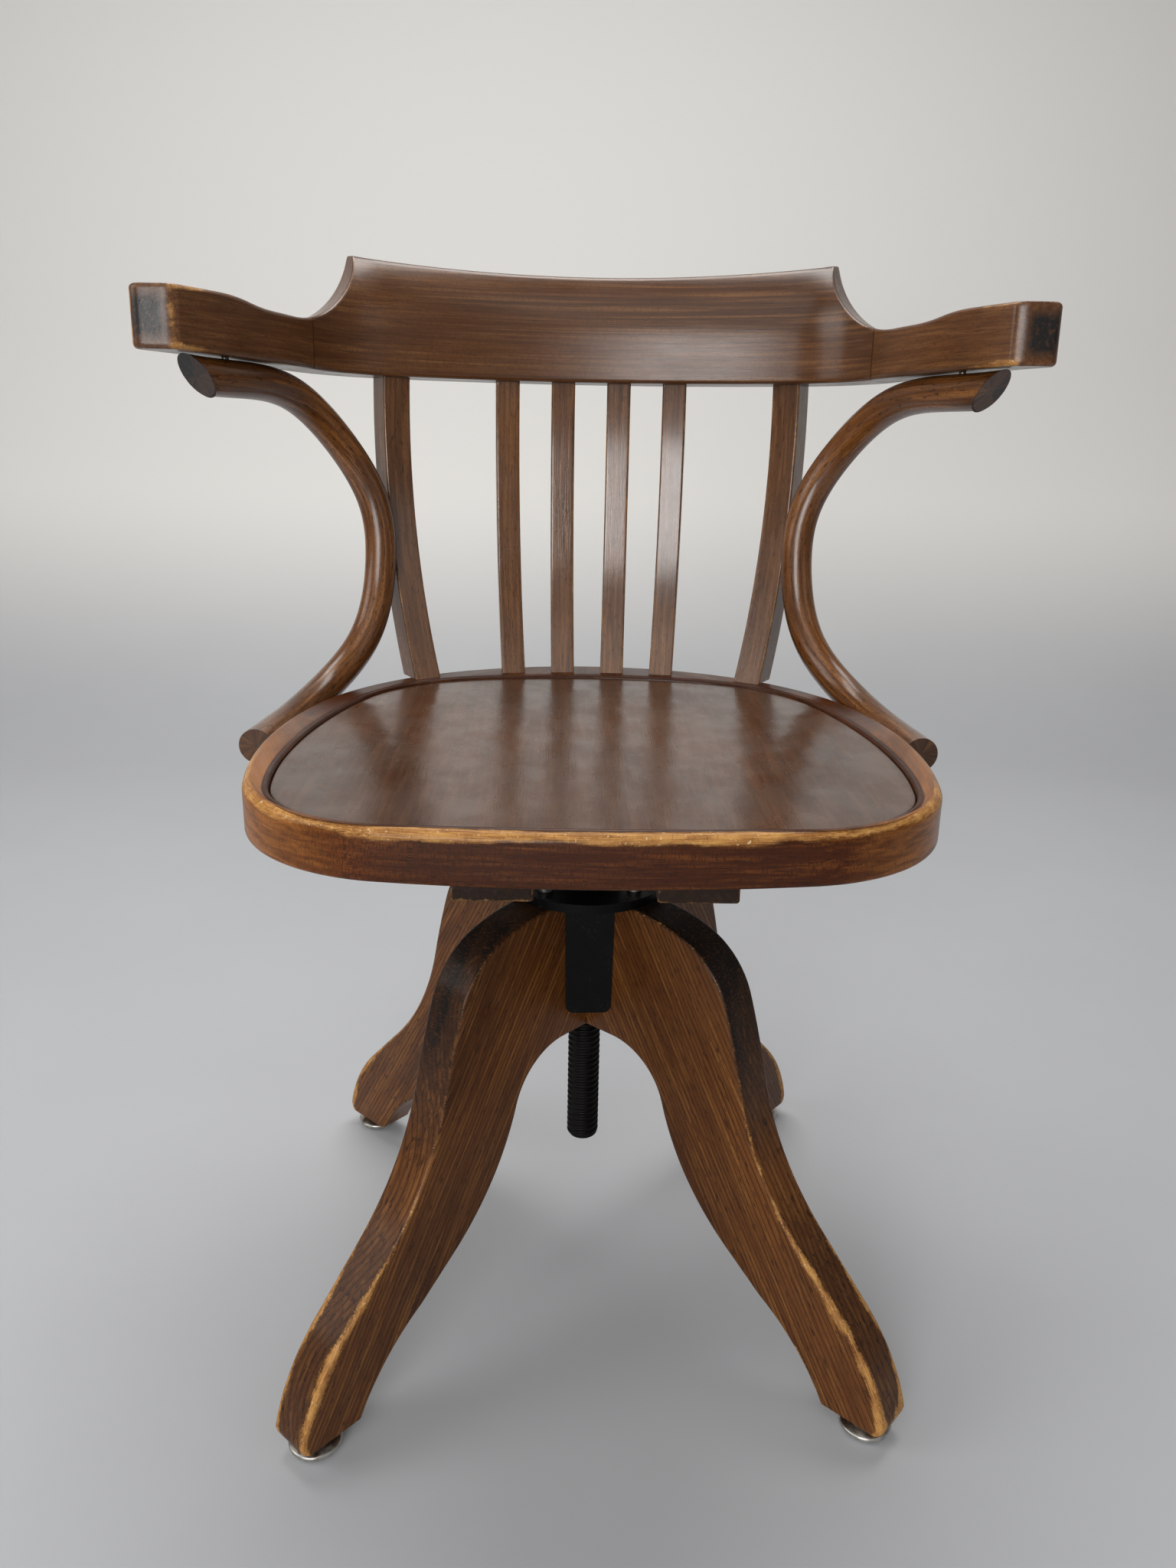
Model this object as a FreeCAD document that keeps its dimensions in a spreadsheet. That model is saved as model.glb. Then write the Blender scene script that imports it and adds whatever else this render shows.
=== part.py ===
import FreeCAD, Part
import math
import os
import Sketcher

# Bankers swivel chair: four sawn legs, an iron hub, a threaded spindle that turns and lifts
# the seat, a bentwood seat ring with a pressed panel, and a rail and arms on stiles and bows.
# Millimetres. Origin on the floor on the spindle's axis, +Z up, the sitter faces -Y.

driving = {
    # base
    "base_turn": 2.4,
    "leg_thickness": 33,
    "leg_top_height": 340,
    "leg_arch_height": 229,
    "leg_sole_height": 13,
    "leg_flat": 58,
    "shoulder_lead_radius": 140,
    "shoulder_lead_turn": 20,
    "shoulder_radius": 65,
    "shoulder_turn": 71.5,
    "shin_radius": 650,
    "shin_turn": 77,
    "calf_radius": 215,
    "calf_turn": 45.5,
    "shank_run": 56,
    "instep_radius": 143,
    "toe_turn": 79,
    "arch_flat": 42,
    "arch_radius": 52,
    "arch_turn": 73,
    "inner_calf_radius": 190,
    "inner_calf_turn": 38,
    "inner_run": 40,
    "scoop_lead_turn": 31,
    "scoop_turn": 62,
    "leg_arris": 3,
    "leg_gap": 0.3,
    "spindle_clearance": 1.2,
    "glide_circle_radius": 273,
    "glide_radius": 18.5,
    "glide_flat_radius": 8,
    "glide_core_radius": 10,
    "glide_rim_height": 7,
    "glide_pan_height": 9,
    "glide_pan_taper": 1,
    "glide_nail_radius": 2,
    "glide_nail_length": 22,
    # hub and spindle
    "spindle_radius": 12.7,
    "spindle_run_gap": 0.08,
    "spindle_foot_height": 116,
    "spindle_foot_round": 5,
    "hub_tube_radius": 20,
    "hub_tube_foot_height": 300,
    "hub_plate_radius": 62,
    "hub_plate_thickness": 7,
    "hub_boss_radius": 27,
    "hub_boss_height": 15,
    "finger_width_low": 34,
    "finger_width_high": 37,
    "finger_foot_height": 250,
    "finger_corner": 6,
    "seat_gap": 0.3,
    "plate_screw_circle_radius": 47,
    "buffer_radius": 24,
    "buffer_thickness": 4,
    "rest_gap": 25.4,
    "spider_boss_radius": 26,
    "spider_boss_foot_radius": 22,
    "spider_boss_length": 30,
    "spider_arm_thickness": 7,
    "spider_arm_width": 30,
    "spider_arm_tip_width": 21,
    "spider_arm_reach": 100,
    "spider_screw_radius": 83,
    "spindle_pin_radius": 3,
    "spindle_pin_length": 47,
    "metal_gap": 0.05,
    # screws
    "screw_radius": 2.5,
    "screw_head_radius": 5.5,
    "screw_head_height": 3,
    "screw_gap": 0.15,
    "plate_screw_length": 40,
    "spider_screw_length": 11,
    "batten_screw_length": 30,
    "bow_screw_length": 40,
    "bow_screw_sink": 5,
    # seat
    "seat_ring_height": 33,
    "seat_half_width": 227,
    "seat_front": 240,
    "seat_back": 198,
    "seat_widest": 60,
    "panel_half_width": 203,
    "panel_front": 227,
    "panel_back": 154,
    "panel_widest": 95,
    "panel_thickness": 6,
    "opening_half_width": 182,
    "opening_front": 198,
    "opening_back": 144,
    "opening_widest": 60,
    "panel_drop": 2,
    "panel_gap": 0.4,
    "ring_round": 6,
    "batten_width": 47,
    "batten_thickness": 12,
    "batten_spacing": 117,
    "batten_front": 228,
    "batten_back": 176,
    "batten_screw_front": 214,
    "batten_screw_back": 162,
    "batten_arris": 1.5,
    # back
    "stile_width": 23,
    "stile_depth": 24,
    "stile_turn": 31,
    "stile_foot_side": 141,
    "stile_foot_back": 147,
    "stile_foot_lean": 63,
    "stile_head_lean": 95,
    "slat_width": 20,
    "slat_thickness": 9,
    "slat_foot_radius": 410,
    "slat_step": 6,
    "slat_foot_lean": 64.5,
    "slat_head_lean": 96.5,
    "tenon_length": 13,
    "tenon_gap": 0.15,
    "back_arris": 1.5,
    # rail and arms
    "back_rise": 239,
    "rail_rise": 3,
    "rail_pivot_back": 215,
    "rail_centre_forward": 238,
    "rail_inner": 196,
    "rail_thickness": 38,
    "rail_turn": 22,
    "corner_inner_radius": 85,
    "corner_outer_radius": 110,
    "corner_turn": 78,
    "arm_inner_radius": 410,
    "arm_outer_radius": 462,
    "arm_turn": 57.2,
    "arm_corner_radius": 8,
    "arm_height": 39.5,
    "arm_low_height": 34.5,
    "arm_rise_start": 168,
    "arm_rise_turn": 12.3,
    "crest_middle_height": 84,
    "crest_peak_height": 92,
    "crest_peak_side": 198,
    "crest_top_thickness": 13,
    "crest_bend_height": 34,
    "cove_turn": 30,
    "cove_start": 78,
    "cove_lead_turn": 74,
    "cove_radius": 72,
    "joint_reach": 128,
    # bows
    "bow_radius": 12.7,
    "bow_foot_forward": 24,
    "bow_foot_rise": -15,
    "bow_hip_side": 229,
    "bow_hip_back": 38,
    "bow_hip_rise": -11.5,
    "bow_heel_side": 208.5,
    "bow_heel_back": 95,
    "bow_heel_rise": 5,
    "bow_calf_side": 185.5,
    "bow_calf_back": 130,
    "bow_calf_rise": 36,
    "bow_waist_side": 173.5,
    "bow_waist_back": 151,
    "bow_waist_rise": 94,
    "bow_chest_side": 177.5,
    "bow_chest_back": 157,
    "bow_chest_rise": 140,
    "bow_shoulder_side": 200,
    "bow_shoulder_back": 149,
    "bow_shoulder_rise": 187,
    "bow_neck_side": 225,
    "bow_neck_back": 114,
    "bow_neck_drop": 9,
    "bow_throat_side": 246,
    "bow_throat_back": 56,
    "bow_head_side": 274.5,
    "bow_head_back": -11.5,
    "bow_head_slant": 44,
    "bow_head_screw_back": 30,
    "bow_foot_screw_forward": 10,
}

# How far a cutting shape reaches past the face it opens, the play left beyond a nail's or
# a screw's tip, the block that saws a rod's end, and how near counts as the same place
past = 10
tip_play = 1
saw_block = 100
near = 0.01

doc = FreeCAD.newDocument("bankers_swivel_chair")
sheet = doc.addObject("Spreadsheet::Sheet", "Sizes")
for row, (alias, number) in enumerate(driving.items(), start=1):
    sheet.set("A%d" % row, alias)
    sheet.set("B%d" % row, str(number))
    sheet.setAlias("B%d" % row, alias)
doc.recompute()


class Size:
    # A length or a turn that carries its number and the sheet formula it comes from
    def __init__(self, number, formula):
        self.number = number
        self.formula = formula

    def __add__(self, other):
        other = plain(other)
        return Size(self.number + other.number, "(%s + %s)" % (self.formula, other.formula))

    def __sub__(self, other):
        other = plain(other)
        return Size(self.number - other.number, "(%s - %s)" % (self.formula, other.formula))

    def __mul__(self, other):
        other = plain(other)
        return Size(self.number * other.number, "%s * %s" % (self.formula, other.formula))

    def __truediv__(self, other):
        other = plain(other)
        return Size(self.number / other.number, "%s / %s" % (self.formula, other.formula))

    def __neg__(self):
        return Size(-self.number, "(0 - %s)" % self.formula)


def plain(value):
    if isinstance(value, Size):
        return value
    return Size(value, "%.9g" % value)


def size(alias):
    return Size(float(sheet.get(alias)), "Sizes." + alias)


def sine(turn):
    return Size(math.sin(math.radians(turn.number)), "sin(%s)" % turn.formula)


def cosine(turn):
    return Size(math.cos(math.radians(turn.number)), "cos(%s)" % turn.formula)


def bind(item, prop, value):
    value = plain(value)
    item.setExpression(prop, value.formula)


# Outlines: chains of straight runs and tangent arcs that follow a heading


class Chain:
    def __init__(self, start, heading=0):
        self.point = (plain(start[0]), plain(start[1]))
        self.heading = plain(heading)
        self.edges = []

    def run(self, length):
        length = plain(length)
        end = (self.point[0] + length * cosine(self.heading),
               self.point[1] + length * sine(self.heading))
        return self.line_to(end)

    def line_to(self, end):
        end = (plain(end[0]), plain(end[1]))
        self.edges.append((self.point, end, None, None))
        self.point = end
        return self

    def bend_to(self, end, radius, centre, side):
        end = (plain(end[0]), plain(end[1]))
        radius = Size(radius.number, "(%s)" % radius.formula)
        self.edges.append((self.point, end, radius, (centre, side)))
        self.point = end
        return self

    def turn(self, heading, radius):
        heading = plain(heading)
        radius = plain(radius)
        side = 1 if heading.number > self.heading.number else -1
        first = self.heading
        across = (sine(heading) - sine(first)) * radius * side
        along = (cosine(first) - cosine(heading)) * radius * side
        end = (self.point[0] + across, self.point[1] + along)
        centre = (self.point[0].number - side * radius.number * math.sin(math.radians(first.number)),
                  self.point[1].number + side * radius.number * math.cos(math.radians(first.number)))
        self.edges.append((self.point, end, radius, (centre, side)))
        self.point = end
        self.heading = heading
        return self


def reversed_edges(edges):
    back = []
    for start, end, radius, arc in reversed(edges):
        flipped = (arc[0], -arc[1]) if arc else None
        back.append((end, start, radius, flipped))
    return back


def mirrored_edges(edges):
    # The same outline on the other side of the vertical axis, drawn the other way round
    other = []
    for start, end, radius, arc in reversed(edges):
        flipped = ((-arc[0][0], arc[0][1]), arc[1]) if arc else None
        other.append(((-end[0], end[1]), (-start[0], start[1]), radius, flipped))
    return other


def arc_ends(start, end, centre, side):
    first, last = (start, end) if side > 0 else (end, start)
    angles = [math.atan2(p[1].number - centre[1], p[0].number - centre[0]) for p in (first, last)]
    if angles[1] <= angles[0]:
        angles[1] += 2 * math.pi
    return angles


def vector(point, height=0.0):
    return FreeCAD.Vector(point[0].number, point[1].number, height)


def draw(body, name, plane, edges, closed=True):
    # A sketch whose every corner is placed by the sheet and whose arcs have their radii bound
    sketch = body.newObject("Sketcher::SketchObject", name)
    sketch.AttachmentSupport = [(origin_plane(body, plane), "")]
    sketch.MapMode = "FlatFace"
    up = FreeCAD.Vector(0, 0, 1)
    ends = []
    for start, end, radius, arc in edges:
        if radius is None:
            number = sketch.addGeometry(Part.LineSegment(vector(start), vector(end)), False)
            ends.append((number, 1, 2))
        else:
            centre, side = arc
            angles = arc_ends(start, end, centre, side)
            circle = Part.Circle(FreeCAD.Vector(centre[0], centre[1], 0), up, radius.number)
            number = sketch.addGeometry(Part.ArcOfCircle(circle, angles[0], angles[1]), False)
            ends.append((number, 1, 2) if side > 0 else (number, 2, 1))
    count = len(edges)
    for index in range(count if closed else count - 1):
        here = ends[index]
        after = ends[(index + 1) % count]
        sketch.addConstraint(Sketcher.Constraint("Coincident", here[0], here[2], after[0], after[1]))
    if not closed:
        number, first, last = ends[-1]
        for kind, value in (("DistanceX", edges[-1][1][0]), ("DistanceY", edges[-1][1][1])):
            place = sketch.addConstraint(Sketcher.Constraint(kind, -1, 1, number, last, value.number))
            sketch.setExpression("Constraints[%d]" % place, value.formula)
    for (number, first, last), (start, end, radius, arc) in zip(ends, edges):
        for kind, value in (("DistanceX", start[0]), ("DistanceY", start[1])):
            place = sketch.addConstraint(Sketcher.Constraint(kind, -1, 1, number, first, value.number))
            sketch.setExpression("Constraints[%d]" % place, value.formula)
        if radius is not None:
            place = sketch.addConstraint(Sketcher.Constraint("Radius", number, radius.number))
            sketch.setExpression("Constraints[%d]" % place, radius.formula)
    return sketch


def draw_circle(body, name, plane, centre, radius):
    sketch = body.newObject("Sketcher::SketchObject", name)
    sketch.AttachmentSupport = [(origin_plane(body, plane), "")]
    sketch.MapMode = "FlatFace"
    up = FreeCAD.Vector(0, 0, 1)
    circle = Part.Circle(vector(centre), up, radius.number)
    number = sketch.addGeometry(circle, False)
    for kind, value in (("DistanceX", centre[0]), ("DistanceY", centre[1])):
        place = sketch.addConstraint(Sketcher.Constraint(kind, -1, 1, number, 3, value.number))
        sketch.setExpression("Constraints[%d]" % place, value.formula)
    place = sketch.addConstraint(Sketcher.Constraint("Radius", number, radius.number))
    sketch.setExpression("Constraints[%d]" % place, radius.formula)
    return sketch


def polygon(points):
    points = [(plain(p[0]), plain(p[1])) for p in points]
    return [(a, b, None, None) for a, b in zip(points, points[1:] + points[:1])]


def origin_plane(body, role):
    return [feature for feature in body.Origin.OriginFeatures if feature.Role == role][0]


def new_body(label):
    body = doc.addObject("PartDesign::Body", label)
    body.Label = label
    return body


def pad(body, name, sketch, length, both_ways=False, lift=None):
    feature = body.newObject("PartDesign::Pad", name)
    feature.Profile = sketch
    if both_ways:
        feature.SideType = "Symmetric"
    bind(feature, "Length", length)
    if lift is not None:
        raise_sketch(sketch, lift)
    body.Tip = feature
    return feature


def raise_sketch(sketch, lift):
    lift = plain(lift)
    sketch.AttachmentOffset = FreeCAD.Placement(FreeCAD.Vector(0, 0, lift.number), FreeCAD.Rotation())
    sketch.setExpression(".AttachmentOffset.Base.z", lift.formula)


def cut_through(body, name, sketch):
    feature = body.newObject("PartDesign::Pocket", name)
    feature.Profile = sketch
    feature.Type = "ThroughAll"
    feature.SideType = "Symmetric"
    body.Tip = feature
    return feature


def spin(body, name, sketch, axis="V_Axis"):
    feature = body.newObject("PartDesign::Revolution", name)
    feature.Profile = sketch
    feature.ReferenceAxis = (sketch, [axis])
    feature.Angle = 360
    body.Tip = feature
    return feature


def round_edges(body, name, base, radius, wanted):
    # Rounds the edges of a feature that the test picks out
    doc.recompute()
    names = ["Edge%d" % (number + 1) for number, edge in enumerate(base.Shape.Edges) if wanted(edge)]
    feature = body.newObject("PartDesign::Fillet", name)
    feature.Base = (base, names)
    bind(feature, "Radius", radius)
    body.Tip = feature
    return feature


def turned(angle, base=(0, 0, 0)):
    spot = FreeCAD.Vector(base[0], base[1], base[2])
    return FreeCAD.Placement(spot, FreeCAD.Rotation(FreeCAD.Vector(0, 0, 1), angle))


def between(edge, test):
    return all(test(vertex.Point) for vertex in edge.Vertexes)


pieces = []


# Legs: four sawn planks mitred round the spindle


def leg_outline():
    outer = Chain((0, size("leg_top_height")))
    outer.run(size("leg_flat"))
    outer.turn(-size("shoulder_lead_turn"), size("shoulder_lead_radius"))
    outer.turn(-size("shoulder_turn"), size("shoulder_radius"))
    outer.turn(-size("shin_turn"), size("shin_radius"))
    outer.turn(-size("calf_turn"), size("calf_radius"))
    outer.run(size("shank_run"))
    outer.turn(-size("toe_turn"), size("instep_radius"))
    sole = size("leg_sole_height")
    toe_fall = outer.point[1] - sole
    toe = outer.point[0] + toe_fall * cosine(size("toe_turn")) / sine(size("toe_turn"))
    outer.line_to((toe, sole))
    inner = Chain((0, size("leg_arch_height")))
    inner.run(size("arch_flat"))
    inner.turn(-size("arch_turn"), size("arch_radius"))
    inner.turn(-size("inner_calf_turn"), size("inner_calf_radius"))
    inner.run(size("inner_run"))
    inner.heading = -size("scoop_lead_turn")
    scoop = (inner.point[1] - sole) / (cosine(size("scoop_lead_turn")) - cosine(size("scoop_turn")))
    inner.turn(-size("scoop_turn"), Size(scoop.number, "(%s)" % scoop.formula))
    outer.line_to(inner.point)
    closing = [(inner.edges[0][0], outer.edges[0][0], None, None)]
    return outer.edges + reversed_edges(inner.edges) + closing


def make_leg(label, quarter):
    body = new_body(label)
    plank = pad(body, label + "_plank", draw(body, label + "_outline", "XZ_Plane", leg_outline()),
                size("leg_thickness"), both_ways=True)
    half = size("leg_thickness").number / 2
    near_axis = size("leg_flat").number / 2
    sole_line = size("leg_sole_height").number + near
    eased = round_edges(body, label + "_arrises", plank, size("leg_arris"),
                        lambda edge: between(edge, lambda p: abs(abs(p.y) - half) < near)
                        and abs(edge.Vertexes[0].Point.y - edge.Vertexes[-1].Point.y) < near
                        and max(v.Point.x for v in edge.Vertexes) > near_axis
                        and max(v.Point.z for v in edge.Vertexes) > sole_line)
    gap = size("leg_gap")
    far = size("leg_thickness")
    mitre = polygon([(gap, 0), (gap + far, far), (-far, far), (-far, -far), (gap + far, -far)])
    cut_through(body, label + "_mitre", draw(body, label + "_mitre_lines", "XY_Plane", mitre))
    bore = draw_circle(body, label + "_bore_line", "XY_Plane", (plain(0), plain(0)),
                       size("spindle_radius") + size("spindle_clearance"))
    cut_through(body, label + "_bore", bore)
    well = draw_circle(body, label + "_well_line", "XY_Plane", (plain(0), plain(0)),
                       size("hub_tube_radius") + size("leg_gap"))
    raise_sketch(well, size("hub_tube_foot_height") - size("leg_gap"))
    pocket = body.newObject("PartDesign::Pocket", label + "_well")
    pocket.Profile = well
    pocket.Reversed = True
    bind(pocket, "Length", size("leg_top_height"))
    body.Tip = pocket
    hole = draw_circle(body, label + "_screw_line", "XY_Plane",
                       (size("plate_screw_circle_radius"), plain(0)), size("screw_radius") + size("screw_gap"))
    raise_sketch(hole, size("leg_top_height") + past)
    pilot = body.newObject("PartDesign::Pocket", label + "_screw_hole")
    pilot.Profile = hole
    bind(pilot, "Length", size("plate_screw_length") + past)
    nail = draw_circle(body, label + "_nail_line", "XY_Plane",
                       (size("glide_circle_radius"), plain(0)), size("glide_nail_radius") + size("screw_gap"))
    nail_hole = body.newObject("PartDesign::Pocket", label + "_nail_hole")
    nail_hole.Profile = nail
    nail_hole.Reversed = True
    bind(nail_hole, "Length", size("leg_sole_height") + size("glide_nail_length") + tip_play)
    body.Tip = nail_hole
    body.Placement = turned(size("base_turn").number + quarter)
    body.setExpression(".Placement.Rotation.Angle", "Sizes.base_turn + %g" % quarter)
    return body


quarters = {"leg_front_left": 225, "leg_front_right": 315, "leg_rear_right": 45, "leg_rear_left": 135}
for label, quarter in quarters.items():
    pieces.append(make_leg(label, quarter))


# Screws: a shank and a flat head, and the slightly larger hole each one sits in


def place_along(spot, direction):
    aim = FreeCAD.Rotation(FreeCAD.Vector(0, 0, 1), FreeCAD.Vector(*direction))
    return FreeCAD.Placement(FreeCAD.Vector(*spot), aim)


def make_rod(label, radius, length, spot, direction):
    rod = doc.addObject("Part::Cylinder", label)
    bind(rod, "Radius", radius)
    bind(rod, "Height", length)
    rod.Placement = place_along(spot, direction)
    return rod


def make_screw(label, spot, direction, length):
    # The head lies outside the face at the spot, the shank runs along the direction
    aim = FreeCAD.Vector(*direction).normalize()
    below = FreeCAD.Vector(*spot) - aim * size("screw_head_height").number
    shank = make_rod(label + "_shank", size("screw_radius"), size(length), spot, direction)
    head = make_rod(label + "_head", size("screw_head_radius"), size("screw_head_height"), below, direction)
    screw = doc.addObject("Part::Fuse", label)
    screw.Base = shank
    screw.Tool = head
    return screw


def make_drill(label, spot, direction, length):
    return make_rod(label, size("screw_radius") + size("screw_gap"), size(length) + tip_play, spot,
                    direction)


def group(label, members):
    bundle = doc.addObject("Part::Compound", label)
    bundle.Label = label
    bundle.Links = members
    return bundle


def carve(label, blank, tools):
    cut = doc.addObject("Part::Cut", label)
    cut.Label = label
    cut.Base = blank
    cut.Tool = tools[0] if len(tools) == 1 else group(label + "_tools", tools)
    return cut


def ring_points(radius, first_turn, height, count=4):
    points = []
    for index in range(count):
        angle = math.radians(first_turn + 360.0 / count * index)
        points.append((radius * math.cos(angle), radius * math.sin(angle), height))
    return points


# Glides: a domed steel pan on a core, held by its nail


def make_glide(label, quarter):
    body = new_body(label)
    rim = size("glide_rim_height")
    pan = size("glide_radius")
    core = size("glide_core_radius")
    nail = size("glide_nail_radius")
    sole = size("leg_sole_height")
    flat = size("glide_flat_radius")
    dome = Chain((0, 0))
    dome.run(flat)
    climb = pan - dome.point[0]
    dome_radius = (climb * climb + rim * rim) / (rim * 2)
    dome.bend_to((pan, rim), dome_radius, (flat.number, dome_radius.number), 1)
    pan_top = size("glide_pan_height")
    dome.line_to((pan - size("glide_pan_taper"), pan_top))
    dome.line_to((core, pan_top))
    dome.line_to((core, sole))
    dome.line_to((nail, sole))
    dome.line_to((nail, sole + size("glide_nail_length")))
    dome.line_to((0, sole + size("glide_nail_length")))
    dome.line_to((0, 0))
    spin(body, label + "_turning", draw(body, label + "_profile", "XZ_Plane", dome.edges))
    angle = size("base_turn") + quarter
    radius = size("glide_circle_radius")
    body.Placement = turned(0, (radius.number * math.cos(math.radians(angle.number)),
                                radius.number * math.sin(math.radians(angle.number)), 0))
    bind(body, ".Placement.Base.x", radius * cosine(angle))
    bind(body, ".Placement.Base.y", radius * sine(angle))
    return body


for label, quarter in quarters.items():
    pieces.append(make_glide(label.replace("leg", "glide"), quarter))

# Hub: threaded tube, boss, plate on the leg tops and four fingers in the corners between legs

hub = new_body("hub_iron")
plate_low = size("leg_top_height") + size("seat_gap")
plate_top = plate_low + size("hub_plate_thickness")
boss_top = plate_top + size("hub_boss_height")
hub_bore = size("spindle_radius") + size("spindle_run_gap")
diagonal = math.sqrt(2)
corner_apex = (size("leg_thickness") / 2 + size("leg_gap")) * diagonal
finger_low = size("finger_width_low") / 2
finger_high = size("finger_width_high") / 2
finger_corner = size("finger_corner")
finger_foot = size("finger_foot_height")
finger_top = plate_low + size("hub_plate_thickness") / 2
finger_face = corner_apex + finger_high
wedge = polygon([(0, -corner_apex), (-finger_high, -finger_face), (finger_high, -finger_face)])
finger_features = [pad(hub, "finger_wedge", draw(hub, "finger_plan", "XY_Plane", wedge),
                       finger_top - finger_foot, lift=finger_foot)]
trim = Chain((finger_low - finger_corner, finger_foot))
trim.turn(90, finger_corner)
trim.line_to((finger_high, finger_top))
trim.line_to((finger_high + past, finger_top))
trim.line_to((finger_high + past, finger_foot - past))
trim.line_to((finger_low - finger_corner, finger_foot - past))
trim.line_to(trim.edges[0][0])
for name, edges in (("finger_right_trim", trim.edges), ("finger_left_trim", mirrored_edges(trim.edges))):
    pocket = hub.newObject("PartDesign::Pocket", name)
    pocket.Profile = draw(hub, name + "_line", "XZ_Plane", edges)
    pocket.Reversed = True
    bind(pocket, "Length", finger_face * 2)
    hub.Tip = pocket
    finger_features.append(pocket)
doc.recompute()
finger_ring = hub.newObject("PartDesign::PolarPattern", "finger_ring")
finger_ring.Originals = finger_features
finger_ring.Axis = ([f for f in hub.Origin.OriginFeatures if f.Role == "Z_Axis"][0], [""])
finger_ring.Angle = 360
finger_ring.Occurrences = 4
hub.Tip = finger_ring
tube = size("hub_tube_radius")
plate = size("hub_plate_radius")
boss = size("hub_boss_radius")
hub_lines = polygon([(hub_bore, size("hub_tube_foot_height")), (tube, size("hub_tube_foot_height")),
                     (tube, plate_low), (plate, plate_low), (plate, plate_top), (boss, plate_top),
                     (boss, boss_top), (hub_bore, boss_top)])
spin(hub, "hub_turning", draw(hub, "hub_profile", "XZ_Plane", hub_lines))
for number in range(4):
    angle = plain(45 + 90 * number)
    radius = size("plate_screw_circle_radius")
    hole = draw_circle(hub, "plate_hole_line_%d" % number, "XY_Plane",
                       (radius * cosine(angle), radius * sine(angle)), size("screw_radius") + size("screw_gap"))
    cut_through(hub, "plate_hole_%d" % number, hole)
hub.Placement = turned(size("base_turn").number)
hub.setExpression(".Placement.Rotation.Angle", "Sizes.base_turn")
pieces.append(hub)

plate_screws = []
for number, spot in enumerate(ring_points(size("plate_screw_circle_radius").number,
                                          45 + size("base_turn").number, plate_top.number)):
    plate_screws.append(make_screw("plate_screw_%d" % number, spot, (0, 0, -1), "plate_screw_length"))
pieces.append(group("plate_screws", plate_screws))

# Spindle, the spider that carries the seat on it, its pin and the buffer under its boss

buffer_foot = boss_top + size("rest_gap")
buffer_top = buffer_foot + size("buffer_thickness")
spider_boss_foot = buffer_top + size("seat_gap")
spider_top = spider_boss_foot + size("spider_boss_length")
ring_foot = spider_top + size("batten_thickness")
seat_top = ring_foot + size("seat_ring_height")
pin_height = spider_boss_foot + size("spider_boss_length") / 2

spindle_radius = size("spindle_radius")
foot_round = size("spindle_foot_round")
spindle = new_body("spindle")
bar = Chain((0, size("spindle_foot_height")))
bar.run(spindle_radius - foot_round)
bar.turn(90, foot_round)
bar.line_to((spindle_radius, spider_top))
bar.line_to((0, spider_top))
bar.line_to(bar.edges[0][0])
spin(spindle, "spindle_turning", draw(spindle, "spindle_profile", "XZ_Plane", bar.edges))
pin_hole = draw_circle(spindle, "spindle_pin_line", "XZ_Plane", (plain(0), pin_height),
                       size("spindle_pin_radius") + size("metal_gap"))
cut_through(spindle, "spindle_pin_hole", pin_hole)
pieces.append(spindle)

spider = new_body("spider_blank")
arm_root = size("spider_arm_width") / 2
arm_tip = size("spider_arm_tip_width") / 2
reach = size("spider_arm_reach")
arm = Chain((0, -arm_root))
arm.line_to((reach - arm_tip, -arm_tip))
arm.heading = plain(0)
arm.turn(90, arm_tip)
arm.turn(180, arm_tip)
arm.line_to((0, arm_root))
arm.line_to(arm.edges[0][0])
arm_sketch = draw(spider, "spider_arm_outline", "XY_Plane", arm.edges)
arm_pad = pad(spider, "spider_arm", arm_sketch, size("spider_arm_thickness"),
              lift=spider_top - size("spider_arm_thickness"))
arm_hole = draw_circle(spider, "spider_hole_line", "XY_Plane", (size("spider_screw_radius"), plain(0)),
                       size("screw_radius") + size("screw_gap"))
arm_bore = cut_through(spider, "spider_hole", arm_hole)
doc.recompute()
arms = spider.newObject("PartDesign::PolarPattern", "spider_arms")
arms.Originals = [arm_pad, arm_bore]
arms.Axis = ([f for f in spider.Origin.OriginFeatures if f.Role == "Z_Axis"][0], [""])
arms.Angle = 360
arms.Occurrences = 4
spider.Tip = arms
collar = size("spider_boss_radius")
spider_bore = spindle_radius + size("metal_gap")
collar_lines = polygon([(0, spider_boss_foot), (size("spider_boss_foot_radius"), spider_boss_foot), (collar, spider_top),
                        (0, spider_top)])
spin(spider, "spider_boss", draw(spider, "spider_boss_profile", "XZ_Plane", collar_lines))
cut_through(spider, "spider_bore", draw_circle(spider, "spider_bore_line", "XY_Plane",
                                               (plain(0), plain(0)), spider_bore))
spider.Placement = turned(45)
pin_length = size("spindle_pin_length")
spider_pin_bore = make_rod("spider_pin_bore", size("spindle_pin_radius") + size("metal_gap"), collar * 4,
                           (0, -collar.number * 2, pin_height.number), (0, 1, 0))
pieces.append(carve("spider", spider, [spider_pin_bore]))
pieces.append(make_rod("spindle_pin", size("spindle_pin_radius"), pin_length,
                       (0, -pin_length.number / 2, pin_height.number), (0, 1, 0)))

washer = new_body("buffer_washer")
washer_lines = polygon([(spindle_radius + size("seat_gap"), buffer_foot), (size("buffer_radius"), buffer_foot),
                        (size("buffer_radius"), buffer_top), (spindle_radius + size("seat_gap"), buffer_top)])
spin(washer, "washer_turning", draw(washer, "washer_profile", "XZ_Plane", washer_lines))
pieces.append(washer)

# Battens under the seat ring

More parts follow.
